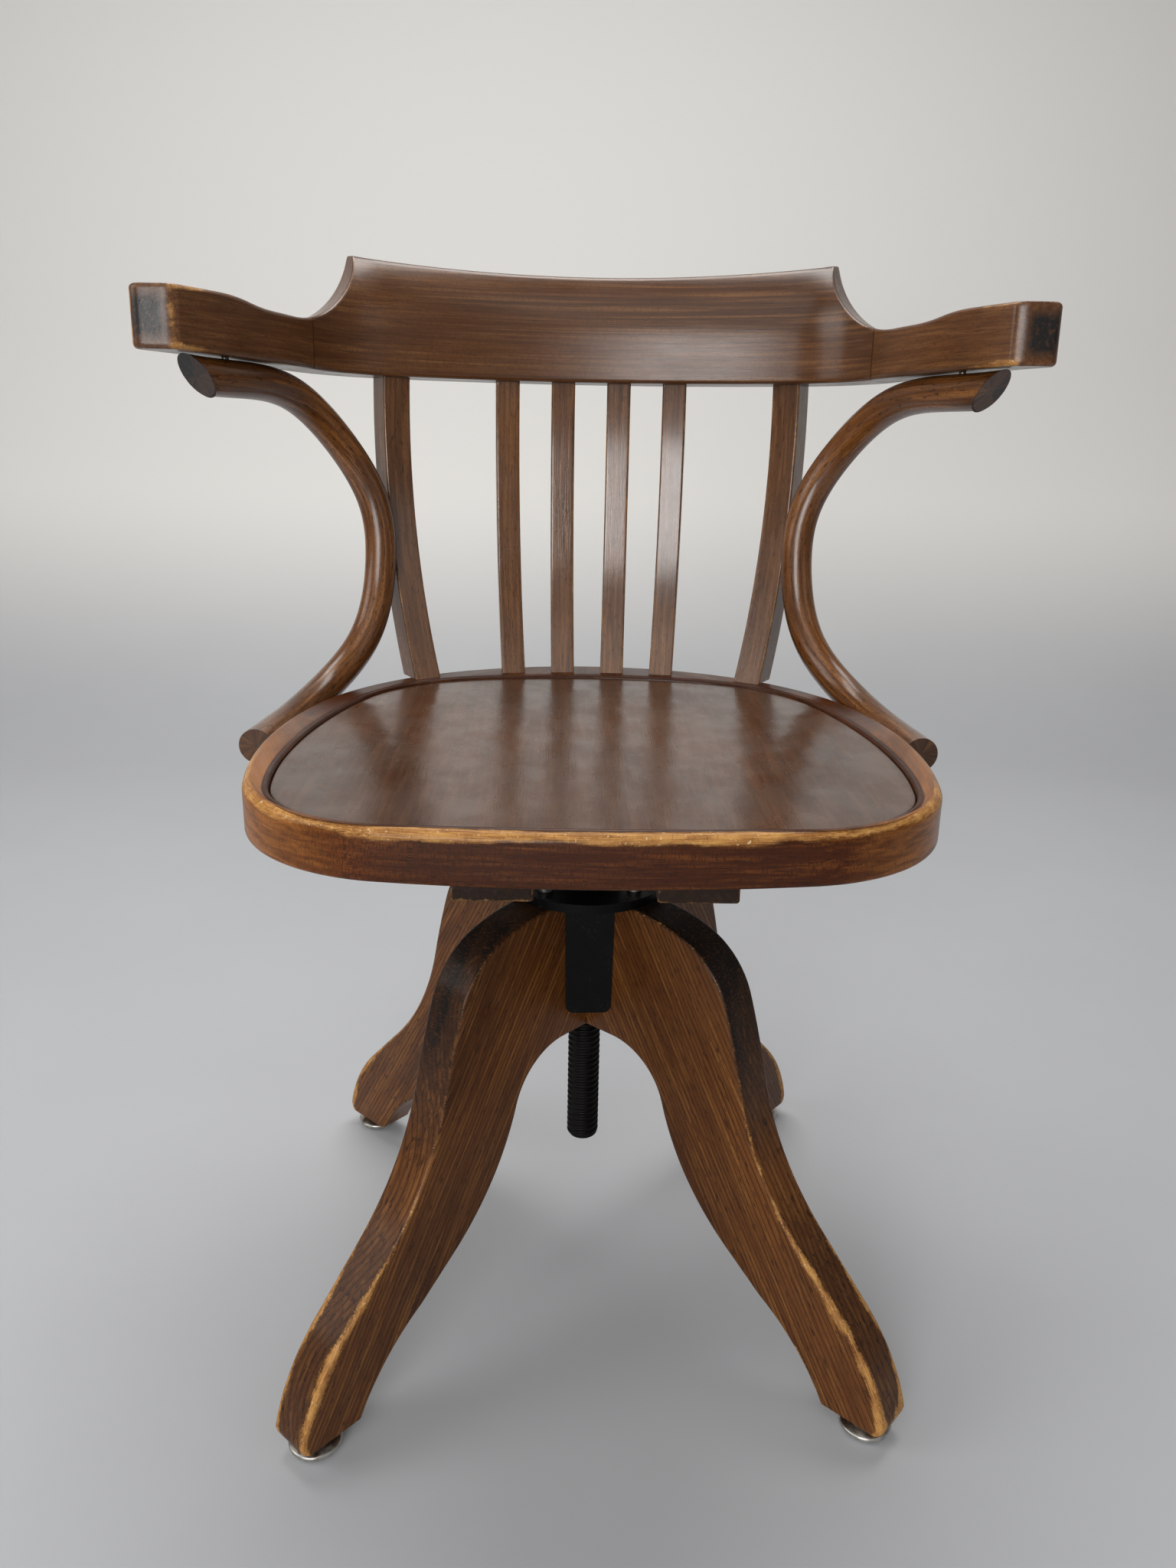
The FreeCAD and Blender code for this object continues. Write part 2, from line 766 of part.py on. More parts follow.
batten_side = size("batten_spacing") / 2
spider_screw_spots = ring_points(size("spider_screw_radius").number, 45, 0)
spider_screws = []
batten_screws = []
for label, side in (("batten_left", -1), ("batten_right", 1)):
    body = new_body(label + "_blank")
    middle = batten_side * side
    half = size("batten_width") / 2
    lines = polygon([(middle - half, -size("batten_front")), (middle + half, -size("batten_front")),
                     (middle + half, size("batten_back")), (middle - half, size("batten_back"))])
    slab = pad(body, label + "_slab", draw(body, label + "_outline", "XY_Plane", lines),
               size("batten_thickness"), lift=spider_top)
    round_edges(body, label + "_arris", slab, size("batten_arris"),
                lambda edge: between(edge, lambda p: p.z < spider_top.number + near))
    drills = []
    for number, spot in enumerate(spider_screw_spots):
        if spot[0] * side > 0:
            low = (spot[0], spot[1], spider_top.number - size("spider_arm_thickness").number)
            name = "spider_screw_%d" % number
            spider_screws.append(make_screw(name, low, (0, 0, 1), "spider_screw_length"))
            drills.append(make_drill(name + "_drill", low, (0, 0, 1), "spider_screw_length"))
    for number, back in enumerate((-size("batten_screw_front"), size("batten_screw_back"))):
        low = (middle.number, back.number, spider_top.number)
        name = "%s_screw_%d" % (label, number)
        batten_screws.append(make_screw(name, low, (0, 0, 1), "batten_screw_length"))
        drills.append(make_drill(name + "_drill", low, (0, 0, 1), "batten_screw_length"))
    pieces.append(carve(label, body, drills))
pieces.append(group("spider_screws", spider_screws))
pieces.append(group("batten_screws", batten_screws))

# Seat: bentwood ring with a rebate, and the pressed panel that lies in it


def seat_outline(half_width, front, back, widest, turns, side_radii, inset=0):
    # Four arcs each side; the corner and the end arcs' radii follow from the seat's sizes
    first, second, third, fourth = [plain(turn) for turn in turns]
    front_side, rear_side = [plain(radius) for radius in side_radii]
    width = half_width - inset
    forward = (front - inset) - widest
    rearward = (back - inset) + widest
    across = width - front_side * (plain(1) - sine(second))
    along = forward - front_side * cosine(second)
    across = Size(across.number, "(%s)" % across.formula)
    along = Size(along.number, "(%s)" % along.formula)
    share = solve_pair(sine(first), sine(second) - sine(first), plain(1) - cosine(first),
                       cosine(first) - cosine(second), across, along)
    front_radius, corner_radius = share
    across = width - rear_side * (plain(1) - sine(third))
    along = rearward + rear_side * cosine(third)
    across = Size(across.number, "(%s)" % across.formula)
    along = Size(along.number, "(%s)" % along.formula)
    share = solve_pair(sine(third) - sine(fourth), sine(fourth), cosine(third) - cosine(fourth),
                       cosine(fourth) + 1, across, along)
    shoulder_radius, back_radius = share
    chain = Chain((0, -(front - inset)))
    chain.turn(first, front_radius)
    chain.turn(second, corner_radius)
    chain.turn(90, front_side)
    chain.turn(third, rear_side)
    chain.turn(fourth, shoulder_radius)
    chain.turn(180, back_radius)
    chain.turn(plain(360) - fourth, back_radius)
    chain.turn(plain(360) - third, shoulder_radius)
    chain.turn(270, rear_side)
    chain.turn(plain(360) - second, front_side)
    chain.turn(plain(360) - first, corner_radius)
    chain.turn(360, front_radius)
    return chain.edges


def solve_pair(a, b, c, d, right, left):
    # a x + b y = right and c x + d y = left
    low = "(%s * %s - %s * %s)"
    spread = Size(a.number * d.number - b.number * c.number,
                  low % ("(%s)" % a.formula, "(%s)" % d.formula, "(%s)" % b.formula, "(%s)" % c.formula))
    first = Size(right.number * d.number - b.number * left.number,
                 low % (right.formula, "(%s)" % d.formula, "(%s)" % b.formula, left.formula))
    second = Size(a.number * left.number - right.number * c.number,
                  low % ("(%s)" % a.formula, left.formula, right.formula, "(%s)" % c.formula))
    one = first / spread
    two = second / spread
    return Size(one.number, "(%s)" % one.formula), Size(two.number, "(%s)" % two.formula)


def seat_sketch(body, name, part, turns, side_radii, inset=0):
    edges = seat_outline(size(part + "_half_width"), size(part + "_front"), size(part + "_back"),
                         size(part + "_widest"), turns, side_radii, inset)
    return draw(body, name, "XY_Plane", edges)


ring_turns = (8, 78, 105, 150)
ring_side_radii = (400, 400)
panel_turns = (4, 80, 108, 165)
panel_side_radii = (350, 520)
ring = new_body("seat_ring_blank")
ring_pad = pad(ring, "ring_bend", seat_sketch(ring, "ring_outline", "seat", ring_turns, ring_side_radii),
               size("seat_ring_height"), lift=ring_foot)
round_edges(ring, "ring_rounding", ring_pad, size("ring_round"),
            lambda edge: edge.Vertexes[0].Point.z == edge.Vertexes[-1].Point.z)
rebate = seat_sketch(ring, "rebate_outline", "panel", panel_turns, panel_side_radii)
raise_sketch(rebate, seat_top + past)
rebate_cut = ring.newObject("PartDesign::Pocket", "ring_rebate")
rebate_cut.Profile = rebate
bind(rebate_cut, "Length", size("panel_drop") + size("panel_thickness") + past)
ring.Tip = rebate_cut
opening = seat_sketch(ring, "opening_outline", "opening", ring_turns, ring_side_radii)
cut_through(ring, "ring_opening", opening)

panel_foot = seat_top - size("panel_drop") - size("panel_thickness")
panel = new_body("seat_panel")
panel_sketch = seat_sketch(panel, "panel_outline", "panel", panel_turns, panel_side_radii, size("panel_gap"))
pad(panel, "panel_board", panel_sketch, size("panel_thickness"), lift=panel_foot)
pieces.append(panel)

# Back: four slats and two stiles, all bowed backward, tenoned into the ring and the rail

rail_foot = seat_top + size("back_rise")


def upright_outline(depth, foot_lean, head_lean, forward, tenon):
    bend = (rail_foot - seat_top) / (cosine(foot_lean) - cosine(head_lean))
    bend = Size(bend.number, "(%s)" % bend.formula)
    half = depth / 2
    sides = []
    for hand in (1, -1):
        start = (forward - tenon * cosine(foot_lean) - half * sine(foot_lean) * hand,
                 seat_top - tenon * sine(foot_lean) + half * cosine(foot_lean) * hand)
        side = Chain(start, foot_lean)
        side.run(tenon)
        side.turn(head_lean, bend - half * hand)
        side.run(tenon)
        sides.append(side)
    back, front = sides
    return front.edges + [(front.point, back.point, None, None)] + reversed_edges(back.edges) + [
        (back.edges[0][0], front.edges[0][0], None, None)]


def make_upright(label, part, leans, forward, placement, rounded):
    body = new_body(label)
    gap = size("tenon_gap")
    width = size(part + "_width")
    depth = size(part + ("_thickness" if part == "slat" else "_depth"))
    tenon = size("tenon_length")
    if not rounded:
        width = width + gap * 2
        depth = depth + gap * 2
        tenon = tenon + gap
    edges = upright_outline(depth, leans[0], leans[1], forward, tenon)
    bar = pad(body, label + "_bar", draw(body, label + "_outline", "YZ_Plane", edges), width, both_ways=True)
    if rounded:
        round_edges(body, label + "_arrises", bar, size("back_arris"),
                    lambda edge: abs(edge.Vertexes[0].Point.x - edge.Vertexes[-1].Point.x) < near
                    and edge.Length > size("back_rise").number / 2)
    body.Placement = placement
    return body


back_mortises = []
slat_leans = (size("slat_foot_lean"), size("slat_head_lean"))
for number in range(4):
    turn = (number - 1.5) * size("slat_step").number
    place = turned(-turn, (0, -size("rail_centre_forward").number, 0))
    label = "slat_%d" % (number + 1)
    pieces.append(make_upright(label, "slat", slat_leans, size("slat_foot_radius"), place, True))
    back_mortises.append(make_upright(label + "_mortise", "slat", slat_leans, size("slat_foot_radius"), place,
                                      False))
stile_leans = (size("stile_foot_lean"), size("stile_head_lean"))
for label, side in (("stile_left", -1), ("stile_right", 1)):
    place = turned(-size("stile_turn").number * side,
                   (size("stile_foot_side").number * side, size("stile_foot_back").number, 0))
    pieces.append(make_upright(label, "stile", stile_leans, plain(0), place, True))
    back_mortises.append(make_upright(label + "_mortise", "stile", stile_leans, plain(0), place, False))

# Rail and arms: one sawn plank with a raised crest, in three glued pieces

plank = new_body("rail_plank")
outer = Chain((0, size("rail_inner") + size("rail_thickness")))
outer.turn(-size("rail_turn"), size("rail_centre_forward") + size("rail_inner") + size("rail_thickness"))
outer.turn(-size("corner_turn"), size("corner_outer_radius"))
outer.turn(-size("arm_turn"), size("arm_outer_radius"))
inner = Chain((0, size("rail_inner")))
inner.turn(-size("rail_turn"), size("rail_centre_forward") + size("rail_inner"))
inner.turn(-size("corner_turn"), size("corner_inner_radius"))
inner.turn(-size("arm_turn"), size("arm_inner_radius"))
half_plan = outer.edges + [(outer.point, inner.point, None, None)] + reversed_edges(inner.edges)
other_plan = mirrored_edges(half_plan)
peak = size("crest_peak_height")
plank_pad = pad(plank, "plank_blank", draw(plank, "plank_plan", "XY_Plane", half_plan + other_plan), peak)
round_edges(plank, "arm_corners", plank_pad, size("arm_corner_radius"),
            lambda edge: between(edge, lambda p: p.y < 0)
            and abs(edge.Vertexes[0].Point.z - edge.Vertexes[-1].Point.z) > near)

middle = size("crest_middle_height")
peak_side = size("crest_peak_side")
sag = peak - middle
crest_radius = (peak_side * peak_side + sag * sag) / (sag * 2)
crest = Chain((-peak_side, peak))
crest.bend_to((peak_side, peak), crest_radius, (0, middle.number + crest_radius.number), 1)
crest.line_to((peak_side, peak + past))
crest.line_to((-peak_side, peak + past))
crest.line_to(crest.edges[0][0])
cut_through(plank, "crest_cut", draw(plank, "crest_line", "XZ_Plane", crest.edges))

bend_foot = size("crest_bend_height")
set_back = size("rail_thickness") - size("crest_top_thickness")
bend_rise = peak - bend_foot
bend_radius = (set_back * set_back + bend_rise * bend_rise) / (set_back * 2)
face = size("rail_inner")
bend = Chain((face, bend_foot))
bend.bend_to((face + set_back, peak), bend_radius, (face.number + bend_radius.number, bend_foot.number), -1)
bend.line_to((face + set_back, peak + past))
bend.line_to((face - past, peak + past))
bend.line_to((face - past, bend_foot))
bend.line_to(bend.edges[0][0])
bend_profile = draw(plank, "bend_profile", "YZ_Plane", bend.edges)
path = Chain((0, face))
path.turn(-size("rail_turn"), size("rail_centre_forward") + face)
path.turn(-size("corner_turn"), size("corner_inner_radius"))
bend_path = draw(plank, "bend_path", "XY_Plane", path.edges, closed=False)
raise_sketch(bend_path, bend_foot)
doc.recompute()
bend_cut = plank.newObject("PartDesign::SubtractivePipe", "bend_cut")
bend_cut.Profile = bend_profile
bend_cut.Spine = (bend_path, ["Edge1", "Edge2"])
plank.Tip = bend_cut

low = size("arm_low_height")
lead = size("cove_lead_turn")
cove_fall = peak - low - size("cove_radius") * (plain(1) - cosine(lead))
cove_run = Size(cove_fall.number, "(%s)" % cove_fall.formula) / sine(lead)
arm_climb = size("arm_height") - low
arm_bend = Size(arm_climb.number / (2 - 2 * cosine(size("arm_rise_turn")).number),
                "((%s) / (2 - 2 * %s))" % (arm_climb.formula, cosine(size("arm_rise_turn")).formula))
arm_reach = size("rail_centre_forward") * 2
cove = Chain((size("cove_start"), peak), -lead)
cove.run(cove_run)
cove.turn(0, size("cove_radius"))
cove.line_to((size("arm_rise_start"), low))
cove.turn(size("arm_rise_turn"), arm_bend)
cove.turn(0, arm_bend)
cove.line_to((arm_reach, size("arm_height")))
cove.line_to((arm_reach, peak + past))
cove.line_to((size("cove_start"), peak + past))
cove.line_to(cove.edges[0][0])
cove_line = draw(plank, "cove_line", "XZ_Plane", cove.edges)
cove_line.AttachmentOffset = FreeCAD.Placement(FreeCAD.Vector(), FreeCAD.Rotation(
    FreeCAD.Vector(0, 1, 0), -size("cove_turn").number))
cove_line.setExpression(".AttachmentOffset.Rotation.Angle", "0 - Sizes.cove_turn")
cove_cut = cut_through(plank, "cove_cut", cove_line)
other_side = plank.newObject("PartDesign::Mirrored", "other_side")
other_side.Originals = [bend_cut, cove_cut]
other_side.MirrorPlane = (origin_plane(plank, "YZ_Plane"), [""])
plank.Tip = other_side

# The plank's underside rises toward the front, about a line under the rail
rise = size("rail_rise")
pivot = size("rail_pivot_back")
plank_lift = rail_foot + pivot * sine(rise)
plank_shift = pivot * (plain(1) - cosine(rise))
plank.Placement = FreeCAD.Placement(FreeCAD.Vector(0, plank_shift.number, plank_lift.number),
                                    FreeCAD.Rotation(FreeCAD.Vector(1, 0, 0), -rise.number))
bind(plank, ".Placement.Base.y", plank_shift)
bind(plank, ".Placement.Base.z", plank_lift)
bind(plank, ".Placement.Rotation.Angle", -rise)


def make_arm_block(label, reach, side):
    # A block that covers everything outside one glue joint
    length = size("rail_centre_forward") * 2
    block = doc.addObject("Part::Box", label)
    bind(block, "Length", length)
    bind(block, "Width", length * 2)
    bind(block, "Height", rail_foot + length)
    angle = math.radians(-size("cove_turn").number * side)
    aim = FreeCAD.Rotation(FreeCAD.Vector(0, 0, 1), math.degrees(angle) + (0 if side > 0 else 180))
    corner = aim.multVec(FreeCAD.Vector(reach.number, -length.number, 0))
    block.Placement = FreeCAD.Placement(corner, aim)
    return block


def bow_spot(name, side):
    drop = size("bow_radius") + size("seat_gap")
    if name in ("neck", "throat", "head"):
        back = size("bow_%s_back" % name)
        under = rail_foot + (pivot - back) * sine(rise) / cosine(rise)
        height = under - drop / cosine(rise)
        if name == "neck":
            height = height - size("bow_neck_drop")
    elif name == "foot":
        back = -size("bow_foot_forward")
        height = seat_top + size("bow_foot_rise")
    else:
        back = size("bow_%s_back" % name)
        height = seat_top + size("bow_%s_rise" % name)
    if name == "foot":
        across = size("seat_half_width") + drop
    else:
        across = size("bow_%s_side" % name)
    return FreeCAD.Vector(across.number * side, back.number, height.number)


def make_bow(label, side):
    # A round rod bent through named places from the ring's side up to the arm's underside
    names = ("foot", "hip", "heel", "calf", "waist", "chest", "shoulder", "neck", "throat", "head")
    spots = [bow_spot(name, side) for name in names]
    curve = Part.BSplineCurve()
    curve.interpolate(spots)
    path = doc.addObject("Part::Feature", label + "_path")
    path.Shape = Part.Wire([curve.toShape()])
    section = doc.addObject("Part::Circle", label + "_section")
    bind(section, "Radius", size("bow_radius"))
    start = curve.tangent(curve.FirstParameter)[0]
    section.Placement = place_along(spots[0], start)
    rod = doc.addObject("Part::Sweep", label + "_rod")
    rod.Sections = [section]
    rod.Spine = (path, ["Edge1"])
    rod.Solid = True
    rod.Frenet = False
    ahead = curve.tangent(curve.LastParameter)[0]
    # The saw leans so that the rod's upper side reaches further than its underside
    level = ahead.cross(FreeCAD.Vector(0, 0, 1)).normalize()
    slant = FreeCAD.Rotation(level, -size("bow_head_slant").number).multVec(ahead)
    saw = doc.addObject("Part::Box", label + "_saw")
    for edge in ("Length", "Width", "Height"):
        bind(saw, edge, saw_block)
    aim = FreeCAD.Rotation(FreeCAD.Vector(0, 0, 1), slant)
    lean_reach = size("bow_radius").number * math.tan(math.radians(size("bow_head_slant").number))
    corner = spots[-1] - ahead * lean_reach + aim.multVec(
        FreeCAD.Vector(-saw_block / 2, -saw_block / 2, 0))
    saw.Placement = FreeCAD.Placement(corner, aim)
    return rod, saw


bow_screws = []
bow_parts = {}
for label, side in (("left", -1), ("right", 1)):
    rod, saw = make_bow("bow_" + label, side)
    head = bow_spot("head", side)
    throat = bow_spot("throat", side)
    share = (size("bow_head_screw_back").number - head.y) / (throat.y - head.y)
    spot = head + (throat - head) * share
    sink = size("bow_screw_sink").number
    spot.z -= size("bow_radius").number - sink
    foot = bow_spot("foot", side)
    hip = bow_spot("hip", side)
    share = (-size("bow_foot_screw_forward").number - foot.y) / (hip.y - foot.y)
    side_spot = foot + (hip - foot) * share
    side_spot.x += (size("bow_radius").number - sink) * side
    drills = []
    wells = []
    for name, place, direction in (("head", spot, (0, 0, 1)), ("foot", side_spot, (-side, 0, 0))):
        screw = "bow_%s_%s_screw" % (label, name)
        bow_screws.append(make_screw(screw, tuple(place), direction, "bow_screw_length"))
        drills.append(make_drill(screw + "_drill", tuple(place), direction, "bow_screw_length"))
        outward = FreeCAD.Vector(*direction) * -1
        wells.append(make_rod(screw + "_well", size("screw_head_radius") + size("screw_gap"),
                              size("bow_radius"), tuple(place), tuple(outward)))
    bow_parts[label] = drills
    pieces.append(carve("bow_" + label, rod, [saw] + drills + wells))
pieces.append(group("bow_screws", bow_screws))

joint = size("joint_reach")
half_gap = size("seat_gap") / 2
middle_blocks = []
for label, side in (("left", -1), ("right", 1)):
    middle_blocks.append(make_arm_block("joint_%s" % label, joint - half_gap, side))
    block = make_arm_block("arm_%s_block" % label, joint + half_gap, side)
    arm_blank = doc.addObject("Part::Common", "arm_%s_blank" % label)
    arm_blank.Base = plank
    arm_blank.Tool = block
    pieces.append(carve("arm_" + label, arm_blank, [bow_parts[label][0]]))
pieces.append(carve("back_rail", plank, middle_blocks + back_mortises))

# The ring's own sockets and pilot holes
ring_tools = list(back_mortises)
for label in ("left", "right"):
    ring_tools.append(bow_parts[label][1])
for label, side in (("batten_left", -1), ("batten_right", 1)):
    for number, back in enumerate((-size("batten_screw_front"), size("batten_screw_back"))):
        low_spot = (batten_side.number * side, back.number, spider_top.number)
        ring_tools.append(make_drill("%s_ring_drill_%d" % (label, number), low_spot, (0, 0, 1),
                                     "batten_screw_length"))
pieces.append(carve("seat_ring", ring, ring_tools))

doc.recompute()
failed = [item.Label for item in doc.Objects if "Invalid" in item.State or "Error" in item.State]
for piece in pieces:
    if piece.Shape.isNull() or not piece.Shape.isValid():
        failed.append(piece.Label + " shape")
if failed:
    raise RuntimeError("not built: " + ", ".join(failed))
os.makedirs("parts", exist_ok=True)
for piece in pieces:
    piece.Shape.exportStep("parts/%s.step" % piece.Label)
    print(piece.Label, round(piece.Shape.Volume), len(piece.Shape.Solids))
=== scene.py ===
# Bankers swivel chair: wood, iron, stage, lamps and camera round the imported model. Sizes are in millimetres.
import math

import bmesh
import bpy
import numpy as np
from mathutils import Matrix, Vector


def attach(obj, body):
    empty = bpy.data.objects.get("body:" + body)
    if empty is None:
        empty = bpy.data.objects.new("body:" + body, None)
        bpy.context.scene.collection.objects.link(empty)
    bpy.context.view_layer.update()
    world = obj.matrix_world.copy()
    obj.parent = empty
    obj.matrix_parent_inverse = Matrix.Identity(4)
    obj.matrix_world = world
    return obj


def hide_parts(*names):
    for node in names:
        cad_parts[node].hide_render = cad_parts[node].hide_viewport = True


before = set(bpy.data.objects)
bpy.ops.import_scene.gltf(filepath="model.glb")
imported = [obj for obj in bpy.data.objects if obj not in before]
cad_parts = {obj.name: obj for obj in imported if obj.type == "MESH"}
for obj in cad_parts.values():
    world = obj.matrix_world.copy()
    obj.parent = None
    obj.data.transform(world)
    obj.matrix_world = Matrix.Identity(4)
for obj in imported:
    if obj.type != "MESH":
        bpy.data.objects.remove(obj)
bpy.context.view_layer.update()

mm = 0.001
print("frame loaded:", len(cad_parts), "nodes")


# Node helpers: each one works in the node tree of its first socket
def feed(socket, value):
    # a socket gets a link, a colour or a plain value
    if isinstance(value, bpy.types.NodeSocket):
        socket.id_data.links.new(value, socket)
    else:
        socket.default_value = (*value, 1.0) if socket.type == "RGBA" else value


def addNode(tree, kind, settings=None, **inputs):
    # inputs go by the socket's name, or as i0, i1 ... by its number
    node = tree.nodes.new(kind)
    for key, value in (settings or {}).items():
        setattr(node, key, value)
    for key, value in inputs.items():
        feed(node.inputs[int(key[1:])] if key[1:].isdigit() else node.inputs[key], value)
    return node


def calc(operation, first, second=0.0, clamp=False):
    # one sum: the first value is a socket, the second a socket or a number
    settings = dict(operation=operation, use_clamp=clamp)
    return addNode(first.id_data, "ShaderNodeMath", settings, i0=first, i1=second).outputs[0]


def plus(first, second, clamp=False):
    return calc("ADD", first, second, clamp)


def minus(first, second):
    return calc("SUBTRACT", first, second)


def times(first, second, clamp=False):
    return calc("MULTIPLY", first, second, clamp)


def split(vector):
    return addNode(vector.id_data, "ShaderNodeSeparateXYZ", None, Vector=vector).outputs


def stretch(vector, along, across, through, shift=(0, 0, 0)):
    # a pattern's own coordinates: place x (along, across, through) + shift
    return addNode(vector.id_data, "ShaderNodeMapping", None, Vector=vector, Scale=(along, across, through),
                   Location=shift).outputs[0]


def noise(vector, scale, detail, roughness, distortion=0.0):
    return addNode(vector.id_data, "ShaderNodeTexNoise", None, Vector=vector, Scale=scale, Detail=detail,
                   Roughness=roughness, Distortion=distortion).outputs["Fac"]


def between(value, low, high, newLow=0.0, newHigh=1.0):
    # value taken from low..high to newLow..newHigh, with soft ends
    return addNode(value.id_data, "ShaderNodeMapRange", dict(interpolation_type="SMOOTHSTEP"),
                   i0=value, i1=low, i2=high, i3=newLow, i4=newHigh).outputs[0]


def blend(factor, first, second):
    # the first colour where the factor is 0, the second where it is 1
    return addNode(factor.id_data, "ShaderNodeMix", dict(data_type="RGBA"),
                   i0=factor, i6=first, i7=second).outputs[2]


def bumpFrom(height, distance):
    # a normal from the height, where 1 stands for the distance in metres
    return addNode(height.id_data, "ShaderNodeBump", None, Height=height, Distance=distance).outputs[0]


def newMaterial(name):
    material = bpy.data.materials.new(name)
    material.use_nodes = True
    return material, material.node_tree, material.node_tree.nodes["Principled BSDF"]


def setShader(shader, values):
    for name, value in values.items():
        feed(shader.inputs[name], value)


# Stained beech. A wooden piece carries two vectors on its points: "grain" is the place as (along, across,
# through the wood) in metres, and "finish" is (millimetres to the nearest arris, how worn that arris is,
# how dark the stain and painted shade lie), where the last is below 0 if the stain has faded.
patterns = dict(  # stretch along, across and through the wood; the noise's detail, roughness and distortion
    cloud=((0.4, 1, 1), 4, 0.6, 0.4), streak=((0.045, 1, 1), 4, 0.6, 0.6), fibre=((0.02, 1, 1), 3, 0.65),
    fleck=((0.16, 1, 0.6), 2, 0.5), ray=((1, 0.3, 0.3), 2, 0.5), wander=((0.12, 1, 1), 2, 0.5),
    chafe=((0.35, 1, 1), 5, 0.65), reach=((0.5, 1, 1), 3, 0.6), smudge=((0.7, 1, 1, (3, 1, 2)), 5, 0.6),
    nicks=(None, 2, 0.6), ridge=(None, 5, 0.55, 1.2), sway=(None, 1, 0.4))
plainWood = dict(
    deep=(0.040, 0.0125, 0.003), mid=(0.100, 0.034, 0.009), light=(0.195, 0.078, 0.022),
    # the burnt colour serves old polish and dark stain, and painted shade as well
    pore=(0.022, 0.0065, 0.002), burnt=(0.006, 0.0035, 0.0025), faded=(0.27, 0.112, 0.032),
    rubbed=(0.30, 0.125, 0.032), bare=(0.60, 0.31, 0.09), chip=(0.66, 0.47, 0.26),
    # how fine each pattern is
    cloud=14, streak=260, fibre=1500, fleck=900, ray=1100, wander=22, chafe=160, reach=26, smudge=30,
    nicks=420, ridge=30, sway=26, rings=1500, ringAcross=0.8, ringThrough=0.6,
    # how strong it is
    streakMix=0.65, ringMix=0.3, ringWander=0.02, fibreMix=0.6, fleckMix=0.5, rayMix=0.25, scratch=0.0,
    wearWidth=2.2, wearRag=3.0, wearMix=0.9, swayHeight=0.0, relief=0.10,
    gloss=0.30, shine=0.3, coat=0.22, coatRough=0.16)


def woodFinish(name, **changes):
    # Clouds, streaks, year rings, fibres, flecks and rays lie over each other, and over them the dark stain
    # with painted shade, or the faded stain. The wood is rubbed bare where worn x width is more than the
    # distance to the arris.
    look = dict(plainWood, **changes)
    material, tree, shader = newMaterial(name)
    place = addNode(tree, "ShaderNodeAttribute", dict(attribute_name="grain")).outputs["Vector"]
    finish = addNode(tree, "ShaderNodeAttribute", dict(attribute_name="finish")).outputs["Vector"]
    edge, worn, dark = split(finish)

    def pattern(label):
        shape, *numbers = patterns[label]
        return noise(stretch(place, *shape) if shape else place, look[label], *numbers)

    cloud, streak, fibre, ray, chafe = map(pattern, ("cloud", "streak", "fibre", "ray", "chafe"))
    _, across, through = split(place)
    # the year rings lie tilted in the plank, and wander
    slope = plus(times(across, look["ringAcross"]), times(through, look["ringThrough"]))
    slope = plus(slope, times(pattern("wander"), look["ringWander"]))
    rings = between(calc("SINE", times(slope, look["rings"])), 0.1, 1.0)
    base = blend(between(cloud, 0.3, 0.7), look["deep"], look["mid"])
    base = blend(between(streak, 0.42, 0.72, 0, look["streakMix"]), base, look["light"])
    base = blend(times(rings, look["ringMix"]), base, look["deep"])
    base = blend(between(fibre, 0.45, 0.75, 0, look["fibreMix"]), base, look["pore"])
    base = blend(between(pattern("fleck"), 0.58, 0.68, 0, look["fleckMix"]), base, look["pore"])
    base = blend(between(ray, 0.45, 0.7, 0, look["rayMix"]), base, look["pore"])
    # the dark value pulls toward one dark colour: old polish and stain, and painted shade in the groove, at
    # the panel's rim and under the seat
    base = blend(times(dark, between(cloud, 0.32, 0.62, 0.35, 1.15), True), base, look["burnt"])
    pale = times(times(dark, -1.0), between(streak, 0.3, 0.65, 0.35, 1.0), True)
    base = blend(pale, base, look["faded"])

    # the bare wood's border is ragged: it follows rays, fibres and scuffs
    ragged = plus(minus(chafe, 0.5), minus(times(plus(ray, fibre), 0.8), 0.8))
    reach = between(pattern("reach"), 0.3, 0.7, 0.5, 1.6)
    rubbed = minus(times(times(worn, reach), look["wearWidth"]), edge)
    rubbed = between(plus(rubbed, times(ragged, look["wearRag"])), -0.6, 2.4)
    bare = blend(between(plus(chafe, fibre), 0.8, 1.2), look["rubbed"], look["bare"])
    base = blend(times(rubbed, look["wearMix"]), base, bare)
    base = blend(between(ray, 0.5, 0.75, 0, 0.35), base, look["mid"])
    base = blend(times(between(pattern("nicks"), 0.66, 0.70), rubbed), base, look["chip"])
    ridge = calc("ABSOLUTE", minus(pattern("ridge"), 0.5))
    base = blend(between(ridge, 0.0, 0.006, look["scratch"], 0.0), base, look["light"])

    # worn and darkened places are duller, and the sawn ends, dark with old polish, are rougher to the touch
    smudge = pattern("smudge")
    rough = between(smudge, 0.3, 0.7, look["gloss"], look["gloss"] + 0.16)
    relief = plus(plus(times(fibre, 0.7), times(smudge, 0.5)), times(times(chafe, dark), 4.0))
    bump = bumpFrom(plus(relief, times(pattern("sway"), look["swayHeight"])), look["relief"] * mm)
    setShader(shader, {
        "Base Color": base, "Roughness": plus(rough, times(plus(rubbed, dark, True), 0.2)),
        "Normal": bump, "Coat Normal": bump, "Specular IOR Level": look["shine"],
        "Coat Weight": look["coat"], "Coat Roughness": look["coatRough"]})
    return material


